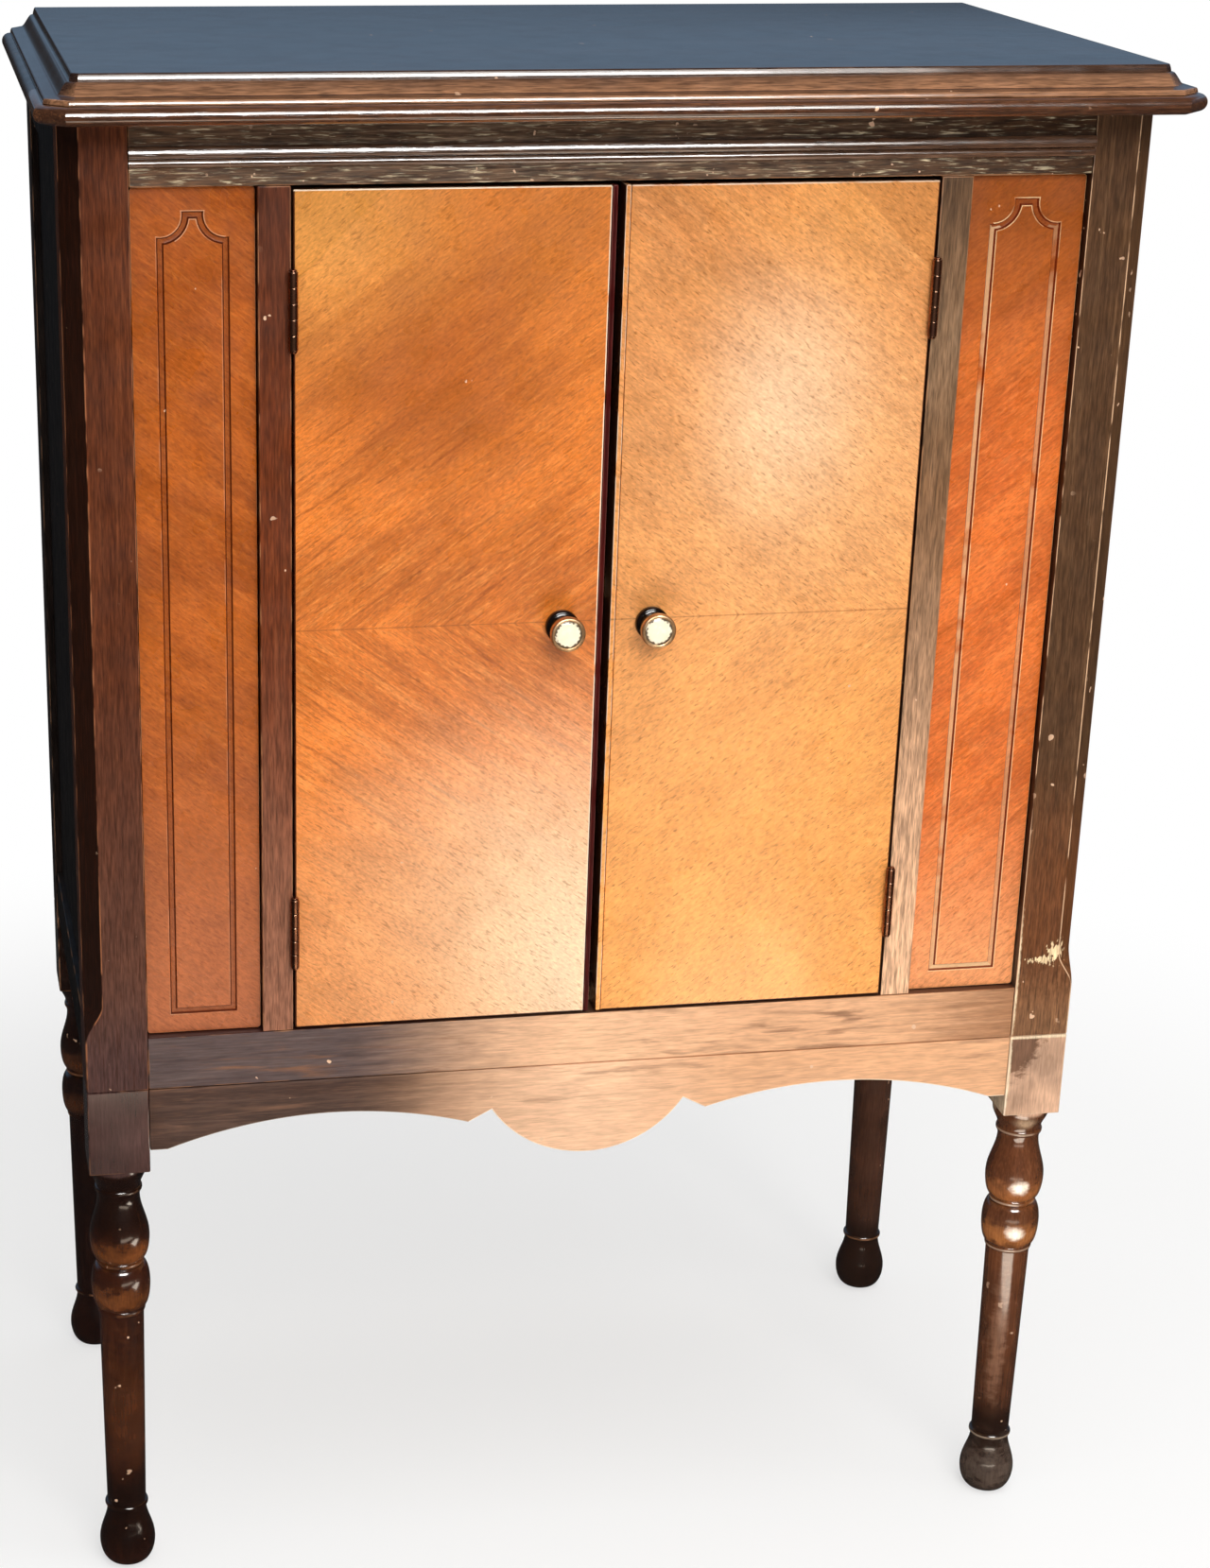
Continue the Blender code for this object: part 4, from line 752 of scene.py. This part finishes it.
def makePanels():
    # a recessed field with a routed line: square below, hollow corners above
    panel = dict(recess=7 * mm, thickness=6 * mm, fieldGap=0.8 * mm, corner=2.2 * mm, cornerSteps=3, ease=0.5 * mm,
        lineAside=dict(left=18.6 * mm, right=17.4 * mm), top=17.5 * mm, bottom=16 * mm, hollow=15.5 * mm,
        steps=10, lineWidth=4.4 * mm, lineDepth=1.8 * mm, floorDark=0.3,
        section=((-0.64, 0), (-0.5, 0), (-0.3, 0.85), (0, 1), (0.3, 0.85), (0.5, 0), (0.64, 0)),  # of width and depth
        straightLipHighlight=dict(left=0.4, right=0.8), floorHighlight=dict(bottom=1.0, left=0.6, right=0.35))
    face = frontY + panel["recess"]
    skin, hair = face + 0.1 * mm, 0.01 * mm  # what counts as above the line, and as level with the field
    lineBottom, top = openingBottom + panel["bottom"], openingTop - panel["top"]
    lineTop = top - panel["hollow"]
    low, high = openingBottom + panel["fieldGap"], openingTop - panel["fieldGap"]
    for hand, side in sides.items():
        left, right = sorted((side * stileOuter, side * postInner))
        middle = (left + right) / 2
        half = (right - left) / 2 - panel["fieldGap"]
        corner = (right - left) / 2 - panel["lineAside"][hand]

        def routed(spread, depth):
            radius = panel["hollow"] - spread
            extra = math.asin(spread / radius)
            line = [(corner + spread, lineBottom - spread)]
            for i in range(panel["steps"] + 1):
                a = (math.pi / 2 + 2 * extra) * i / panel["steps"] - extra
                line.append((corner - radius * math.sin(a), top - radius * math.cos(a)))
            return [(middle + x, face + depth, z) for x, z in line + [(-x, z) for x, z in line[::-1]]]

        bm = newMesh()
        arris, groove = bm.faces.layers.float["arris"], bm.faces.layers.float["groove"]
        cap = sweep(bm, [routed(panel["lineWidth"] * across, panel["lineDepth"] * depth)
            for across, depth in panel["section"]])
        lineEdges = cap.edges[:]
        lips = {strip for strip in bm.faces if strip != cap and len(strip.verts) == 4
            and all(abs(v.co.y - face) < hair for v in strip.verts)}
        bmesh.ops.delete(bm, geom=[cap], context="FACES_ONLY")
        border = []
        insideX, insideLow, insideHigh = half - panel["corner"], low + panel["corner"], high - panel["corner"]
        for x, z, first in ((insideX, insideLow, -90), (insideX, insideHigh, 0), (-insideX, insideHigh, 90),
                (-insideX, insideLow, 180)):
            for i in range(panel["cornerSteps"] + 1):
                a = math.radians(first + 90 * i / panel["cornerSteps"])
                border.append(bm.verts.new((middle + x + panel["corner"] * math.cos(a), face,
                    z + panel["corner"] * math.sin(a))))
        borderEdges = [bm.edges.new((border[i], border[(i + 1) % len(border)])) for i in range(len(border))]
        bmesh.ops.triangle_fill(bm, edges=lineEdges + borderEdges, use_beauty=True, normal=(0, -1, 0))
        # dark walls and a browner floor to the line, with a painted highlight on the lips on one side of the line
        for strip in bm.faces:
            onField = max(v.co.y for v in strip.verts) < skin
            onFloor = min(v.co.y for v in strip.verts) > skin
            strip[groove] = 0.0 if onField else panel["floorDark"] if onFloor else 1.0
            at = strip.calc_center_median()
            aside, upper, lower = at.x - middle, at.z > lineTop, at.z < lineBottom
            outer = abs(aside) > corner or lower
            litLip = strip in lips and (upper and not outer or outer == (aside * side > 0) or side > 0 and lower)
            strip[arris] = litLip * (1.0 if upper or lower else panel["straightLipHighlight"][hand])
            if side > 0 and onFloor and not upper:  # painted highlight on the floor of the line, most along the bottom
                run = "bottom" if at.z < lineBottom + panel["bottom"] else "left" if aside < 0 else "right"
                strip[arris] = panel["floorHighlight"][run]
        walls = bmesh.ops.extrude_edge_only(bm, edges=borderEdges)["geom"]
        bmesh.ops.translate(bm, verts=[g for g in walls if isinstance(g, bmesh.types.BMVert)],
            vec=(0, panel["thickness"], 0))
        bmesh.ops.edgeloop_fill(bm, edges=[g for g in walls if isinstance(g, bmesh.types.BMEdge)])
        bmesh.ops.recalc_face_normals(bm, faces=bm.faces[:])
        ease(bm, panel["ease"],
            edges=[e for e in bm.edges if len(e.link_faces) == 2 and e.calc_face_angle(0) > math.radians(80)
                and all(abs(v.co.y - face) < hair for v in e.verts)])
        finishPiece(f"{hand}FrontPanel", bm, panelWood[hand], f"{hand}_front_panel")


makePanels()
print("front panels made")


# doors: leaves mirrored at a level seam, a paler cut corner, a painted glare in cream low on the left and all down the
# right
doorLook = dict(seam=0.689, lineHex="#33090a", rubHex="#f8e6cc")
doorWood = {
    "left": veneer("figured walnut veneer on the left door", **doorLook, turn=(0, -36, 0),
        tones="#a3531a #e68030 #f39b4b", rub=0.9, rubRange=(0.3, 0.42), smear=(60, 3), smears=0.65, smearHex="#8a3f0e",
        leaf=(-doorHigh.x, 0, doorHigh.z), leafs=0.5, leafHex="#cc883a", fades=[
            fade((-0.1, -0.15, 1.0), (0.5, far, 0.32), "#be7230", 0.75),
            fade((-0.19, -0.15, 0.94), (0.12, far, 0.12), "#eaa252", 0.85),
            fade((-0.115, -0.15, 0.85), (0.13, far, 0.11), "#984814", 0.6, ragged=1.4),
            # painted glare: pale cream low down
            fade((-0.025, -0.15, 0.465), (0.21, far, 0.22), "#ffd8b0", 0.95),
            fade((-0.17, -0.15, 0.46), (0.17, far, 0.2), "#eda365", 0.6)]),
    "right": veneer("figured walnut veneer on the right door", **doorLook, turn=(0, 36, 0),
        tones="#b4713a #d88f4e #e8a463", rub=0.6, rubRange=(0.42, 0.55), pores=0.52, shift=1.3, smear=(60, 7),
        smears=0.3, smearHex="#b87236", leaf=(doorHigh.x, 0, doorHigh.z), leafs=0.6, leafHex="#c07f45", fades=[
            fade((0.15, -0.15, 0.945), (0.09, far, 0.08), "#f0a85a", 0.4),
            # painted glare: paler all down, with a painted highlight above the middle
            fade((0.1, -0.15, 0.4), (0.5, far, 0.5), "#fcab5d", 1.0),
            fade((0.127, -0.15, 0.8), (0.17, far, 0.19), "#f4c492", 0.45),
            fade((0.108, -0.15, 0.83), (0.075, far, 0.11), "#ffe2c4", 0.38),
            fade((0.022, -0.15, 0.86), (0.06, far, 0.16), "#cf8c56", 0.4)])}
# left edge strip: a dark red line between the doors
leftLippingWood = frameWood("dark red lipping", turn=upright, tones="#2e0403 #400806 #56110d", rub=0.3,
    rubHex="#9a5a50", rubRange=(0.3, 0.5), spec=0.1, coat=0.0)
lippings = {"left": (leftLippingWood, "dark_stained_wood", (0, 0, 0)),
    # the right lipping gets painted shadow on its face towards the gap
    "right": (doorWood["right"], "door_veneer", (-1, 0, 0))}
# knobs: black gloss around a soft yellow ring of metal
knobWood = frameWood("black lacquered knob", tones="#0b0706 #150d0a #2a1a13", rough=(0.08, 0.18), coat=0.2,
    coatRough=0.05, spec=0.3, rub=0.2, nicks=0.8, band=(60, 12), streak=(30, 3))
rimBrass = metal("brass knob rim", {"dark": "#b08a62", "body": "#e6c29a", "bright": "#fff0d8", "rough": (0.36, 0.5),
    "scale": 160.0, "rub": 0.5})


def makeCream(name, centre):
    # cream disc with a dark beaded ring, set by the distance from the knob's own axis
    inlay = dict(tones=("#efe3c2", "#fdf6e0"), ring="#4a3219", beads=18.0, wobble=0.35 * mm, inner=7.4 * mm,
        outer=7.9 * mm, breakScale=260.0, breaks=(0.4, 0.5), ringShare=0.9, cloudScale=220.0,
        rough=(0.18, 0.34), relief=0.3, bump=0.2 * mm, coat=0.4)
    material = bpy.data.materials.new(name)
    add = newTree(material)
    place = add("TexCoord").node.outputs["Object"]
    away = add("VectorMath", (place, centre), "SUBTRACT")
    axes = add("SeparateXYZ", {"Vector": away}).node.outputs
    flat = add("CombineXYZ", {"X": axes["X"], "Z": axes["Z"]})
    out = add("VectorMath", (flat,), "LENGTH").node.outputs["Value"]
    angle = add("Math", (axes["Z"], axes["X"]), "ARCTAN2")
    beads = add("Math", (angle, inlay["beads"]), "MULTIPLY")
    beads = add("Math", (beads,), "SINE")
    wobble = add("Math", (beads, inlay["wobble"], out), "MULTIPLY_ADD")
    ring = add("MapRange", (wobble, inlay["inner"], inlay["outer"]), "SMOOTHSTEP")
    broken = add("TexNoise", {"Vector": place, "Scale": inlay["breakScale"], "Detail": 2.0})
    start, end = inlay["breaks"]
    broken = add("MapRange", (broken, start, end, 0.0, inlay["ringShare"]), "SMOOTHSTEP")
    ring = add("Math", (ring, broken), "MULTIPLY")
    cloud = add("TexNoise", {"Vector": place, "Scale": inlay["cloudScale"], "Detail": 4.0})
    first, second = inlay["tones"]
    colour = add("Mix", {"Factor": cloud, "A": shade(first), "B": shade(second)}, "RGBA")
    colour = add("Mix", {"Factor": ring, "A": colour, "B": shade(inlay["ring"])}, "RGBA")
    smooth, rough = inlay["rough"]
    dull = add("MapRange", (cloud, 0.0, 1.0, smooth, rough))
    bump = add("Bump", {"Strength": inlay["relief"], "Distance": inlay["bump"], "Height": ring}, invert=True)
    body = add("BsdfPrincipled", {"Base Color": colour, "Roughness": dull, "Normal": bump,
        "Coat Weight": inlay["coat"]})
    add("OutputMaterial", {"Surface": body})
    return material


def makeDoors():
    door = dict(ease=0.9 * mm, lippingEase=0.5 * mm, knobAcross=29.5 * mm, knobRise=271 * mm, turns=48, steps=6,
        tilt=0.2, square=0.97, sharp=45,
        body="line 0 0.3, line 10.2 0.3, swell 10.9 1.6, line 10.9 2.8, fall 9.0 5.0, line 8.2 5.4, "
        "fall 7.6 7.0, wave 11 17.2, line 11 17.6, fall 10.4 18.3, line 0 18.3",
        rim="line 9.0 18.3, line 11.2 18.3, swell 11.4 18.9, line 11.4 20.6, fall 9.9 22.4, fall 9.0 21.6, "
        "line 9.0 18.3",
        disc="line 0 18.4, line 8.8 18.4, line 8.8 20.6, fall 8.2 21.0, fall 0 22.1")
    for hand, side in sides.items():
        body = f"{hand}_door"
        low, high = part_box(f"{hand}_door")
        bm = newMesh()
        addBox(bm, low, high)
        ease(bm, door["ease"])
        bm.normal_update()
        for face in bm.faces:  # dark stain and painted shadow on the edges all round, a painted highlight on the top arris and at the left lipping
            front, meeting = face.normal.y < -door["tilt"], face.normal.x * side < -door["tilt"]
            rubbed = front and (face.normal.z > door["tilt"] or meeting and side < 0)
            stained = abs(face.normal.y) < door["square"] and not rubbed and not (front and meeting)
            face[bm.faces.layers.float["arris"]] = float(rubbed)
            face[bm.faces.layers.float["groove"]] = float(stained)
        finishPiece(f"{hand}Door", bm, doorWood[hand], f"{hand}_door", body)
        centre = (side * door["knobAcross"], frontY, low.z + door["knobRise"])
        low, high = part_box(f"{hand}_door_lipping")
        material, slotName, dark = lippings[hand]
        boardPiece(f"{hand}DoorLipping", low, high, door["lippingEase"], material, f"{hand}_door_lipping", body,
            dark)
        cream = makeCream(f"cream inlay, {hand}", centre)
        for part, material, slotName, node in (("body", knobWood, "knob_wood", "knob"),
                ("rim", rimBrass, "aged_brass", "knob_rim"), ("disc", cream, "cream_inlay", "knob_disc")):
            bm = newMesh()
            spinLine(bm, turnedLine(door[part], door["steps"]), centre, "Y", door["turns"])
            finishPiece(f"{hand}Knob{part.title()}", bm, material, f"{hand}_{node}", body, door["sharp"])


makeDoors()
print("doors and knobs made")


# hinges: brown metal with a dull gleam on its edges
hingeBrass = metal("dark bronzed hinge", {"dark": "#6a4436", "body": "#a8765a", "bright": "#e6c4a4",
    "rough": (0.22, 0.36), "scale": 90.0, "rub": 0.25})


def makeHinges():
    # two leaves whose knuckles take turns along a pin; the pin's line is in mm up from the leaf's foot
    hinge = dict(knuckles=5, radius=3 * mm, leaf=1.5 * mm, play=0.2 * mm, ease=0.25 * mm, least=60, turns=28,
        pinSteps=5, sharp=45,
        pin="line 0 -1.5, swell 2.4 -0.9, line 2.4 -0.35, line 1.5 -0.3, line 1.5 48.3, line 2.4 48.35, "
        "line 2.4 48.9, fall 0 49.5")
    for joint in frame["joints"]:
        body = joint["child"]
        hand = body.split("_")[0]
        side = sides[hand]
        across, out = joint["pos_m"][0], joint["pos_m"][1]
        for place in ("upper", "lower"):
            low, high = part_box(f"{hand}_{place}_hinge_frame_leaf")
            pitch = (high.z - low.z) / hinge["knuckles"]
            name = f"{hand}{place.title()}Hinge"
            for leaf, way, first, rides in (("frame", side, 0, "carcase"), ("door", -side, 1, body)):
                near = across + way * hinge["play"]
                left, right = sorted((near, near + way * hinge["leaf"]))
                bm = newMesh()
                addBox(bm, (left, frontY, low.z), (right, high.y, high.z))
                for i in range(first, hinge["knuckles"], 2):
                    start, end = low.z + pitch * i + gap / 2, low.z + pitch * (i + 1) - gap / 2
                    addBox(bm, (left, out, start), (right, frontY + hinge["leaf"], end))
                    bmesh.ops.create_cone(bm, cap_ends=True, segments=hinge["turns"], radius1=hinge["radius"],
                        radius2=hinge["radius"], depth=end - start,
                        matrix=Matrix.Translation((across, out, (start + end) / 2)))
                ease(bm, hinge["ease"], hinge["least"])
                finishPiece(f"{name}{leaf.title()}Leaf", bm, hingeBrass, f"{hand}_{place}_hinge_{leaf}_leaf", rides)
            bm = newMesh()
            spinLine(bm, turnedLine(hinge["pin"], hinge["pinSteps"]), (across, out, low.z), "Z", hinge["turns"])
            pinBody = body_of(frame["nodes"][f"{hand}_{place}_hinge_pin"])[0]
            finishPiece(f"{name}Pin", bm, hingeBrass, f"{hand}_{place}_hinge_pin", pinBody,
                hinge["sharp"])


makeHinges()
print("hinges made")


# sides: matt, with only a hint of grain, near black with painted shade
sideLook = dict(tones="#100a07 #1c130f #2c201a", rough=(0.4, 0.6), coat=0.0, nicks=0.78, rub=0.3)
sideWood = frameWood("near-black side with painted shade", turn=upright, **sideLook)
sideRailWood = frameWood("near-black side rail with painted shade", turn=inward, **sideLook)
# inside and back: dry pale wood without varnish
bareLook = dict(coat=0.0, nicks=0.8)
bareWood = frameWood("bare pale wood", **bareLook, tones="#8a6a48 #a98761 #bf9f79", rough=(0.5, 0.7),
    rubHex="#c7a988", poreHex="#6d4f33")
plyWood = frameWood("plain plywood back", **bareLook, tones="#7d5f40 #99784f #b08f66", rough=(0.55, 0.75),
    turn=upright, band=(400, 60), rubHex="#b89a76", poreHex="#5d442c")
# catch and screws: grey metal with cloudy tarnish
steelMetal = metal("dull steel", {"dark": "#5c5650", "body": "#8f8880", "bright": "#cfc9c0", "rough": (0.28, 0.5),
    "scale": 120.0, "rub": 0.4})


def makeSidesAndBack():
    carcass = dict(ease=0.7 * mm)
    front, rear = postRear + gap, backY - (postRear - frontY) - gap
    for hand in sides:
        for part, material in (("side_panel", sideWood), ("side_top_rail", sideRailWood),
                ("side_bottom_rail", sideRailWood)):
            low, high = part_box(f"{hand}_{part}")
            name = hand + part.replace("_", " ").title().replace(" ", "")
            boardPiece(name, (low.x, front, low.z), (high.x, rear, high.z), carcass["ease"], material, f"{hand}_{part}")
    for name, part, material in (("backTopRail", "back_top_rail", bareWood),
            ("backBottomRail", "back_bottom_rail", bareWood), ("backPanel", "back_panel", plyWood)):
        low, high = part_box(part)
        boardPiece(name, (-reach, low.y, low.z), (reach, high.y, high.z), carcass["ease"], material, part)
    # hidden pieces keep their CAD shape
    hidden = {"bottom_board": bareWood, "shelf": bareWood, "left_shelf_cleat": bareWood, "right_shelf_cleat": bareWood,
        "catch_clip": steelMetal, "left_catch_tongue": steelMetal, "right_catch_tongue": steelMetal,
        "left_knob_screw": steelMetal, "right_knob_screw": steelMetal}
    for node, material in hidden.items():
        for slot in frame["nodes"][node].material_slots:
            slot.material = material


makeSidesAndBack()
print("sides, back and inside made")


def makeStage():
    stage = dict(floorHalf=14.0, floorHex="#f2f2f2", whiteNear=0.7, whiteFar=1.3, paperWhite=0.6)
    bm = bmesh.new()
    bmesh.ops.create_grid(bm, x_segments=1, y_segments=1, size=stage["floorHalf"])
    mesh = bpy.data.meshes.new("floor")
    bm.to_mesh(mesh)
    bm.free()
    floor = newObject("floor", mesh)
    floor.visible_glossy = False
    # paper floor: keeps the shadow near the cabinet and runs out to plain white
    material = bpy.data.materials.new("white paper floor")
    add = newTree(material)
    rays = add("LightPath").node.outputs
    place = add("TexCoord").node.outputs["Object"]
    away = add("VectorMath", (place,), "LENGTH").node.outputs["Value"]
    share = add("MapRange", (away, stage["whiteNear"], stage["whiteFar"], stage["paperWhite"]), "SMOOTHSTEP")
    share = add("Math", (share, rays["Is Camera Ray"]), "MULTIPLY")
    paper = add("BsdfDiffuse", {"Color": shade(stage["floorHex"])})
    white = add("Emission", {"Color": shade("#ffffff"), "Strength": 1.0})
    body = add("MixShader", (share, paper, white))
    add("OutputMaterial", {"Surface": body})
    mesh.materials.append(material)

    # reflections see a dark room in front and a grey-blue window wall behind
    room = dict(wall="#2c2a2a", window="#6a8299", behind=(0.25, 0.8), above=(0.0, 0.15), soft="#f2f2f2", softPower=0.3)
    world = bpy.data.worlds.new("studio")
    scene.world = world
    add = newTree(world)
    rays = add("LightPath").node.outputs
    way = add("SeparateXYZ", {"Vector": add("TexCoord").node.outputs["Generated"]}).node.outputs
    ranges = []
    for axis, (start, end) in (("Y", room["behind"]), ("Z", room["above"])):
        ranges.append(add("MapRange", (way[axis], start, end), "SMOOTHSTEP"))
    behind = add("Math", (ranges[0], ranges[1]), "MULTIPLY")
    mirrored = add("Mix", {"Factor": behind, "A": shade(room["wall"]), "B": shade(room["window"])}, "RGBA")
    soft = add("Background", {"Color": shade(room["soft"]), "Strength": room["softPower"]})
    sheen = add("Background", {"Color": mirrored, "Strength": 1.0})
    white = add("Background", {"Color": shade("#ffffff"), "Strength": 1.0})
    seen = add("MixShader", (rays["Is Glossy Ray"], soft, sheen))
    seen = add("MixShader", (rays["Is Camera Ray"], seen, white))
    add("OutputWorld", {"Surface": seen})

    # where each lamp stands and aims, size, power, colour, and whether it shows in reflections and lights the wood
    lamps = {"overhead": ((0.4, -0.6, 3.2), (0, 0, 0), (3.0, 3.0), 75.0, "#ffffff", False, True),
        "window": ((0.3, -3.2, 2.6), (0.1, -0.2, 0.8), (2.1, 1.5), 84.0, "#fffaf4", True, True),
        "strip": ((0.2, -3.2, 2.3), (0.0, -0.2, 0.9), (1.6, 0.6), 95.0, "#ffffff", True, False),
        "ground": ((0.12, -1.15, 0.02), (0.12, -1.15, 2.0), (0.9, 0.5), 3.0, "#ffe9d2", True, True),
        "glint": ((0.24, -0.52, 0.01), (0.24, -0.52, 2.0), (0.35, 0.25), 1.4, "#fff0dd", True, False)}
    for name, (at, aim, size, power, tone, mirrored, lights) in lamps.items():
        data = bpy.data.lights.new(name, "AREA")
        data.shape = "RECTANGLE"
        data.size, data.size_y = size
        data.energy, data.color = power, shade(tone)[:3]
        light = newObject(name, data)
        light.location = at
        light.rotation_euler = (Vector(aim) - Vector(at)).to_track_quat("-Z", "Y").to_euler()
        light.visible_camera, light.visible_glossy, light.visible_diffuse = False, mirrored, lights


def makeCamera():
    # fitted to the corners and edges of the cabinet in the photo
    view = dict(at=(-0.44694, -1.98375, 1.24455), turn=(67.83275, -0.63855, -9.57514), lens=69.8925, sensor=36.0,
        shift=(0.128258, 0.08789))
    data = bpy.data.cameras.new("camera")
    data.lens, data.sensor_width = view["lens"], view["sensor"]
    data.shift_x, data.shift_y = view["shift"]
    camera = newObject("camera", data)
    camera.location = view["at"]
    camera.rotation_euler = Euler([math.radians(a) for a in view["turn"]])
    scene.camera = camera


makeStage()
makeCamera()
scene.view_settings.view_transform = "Standard"
print("stage and camera set")
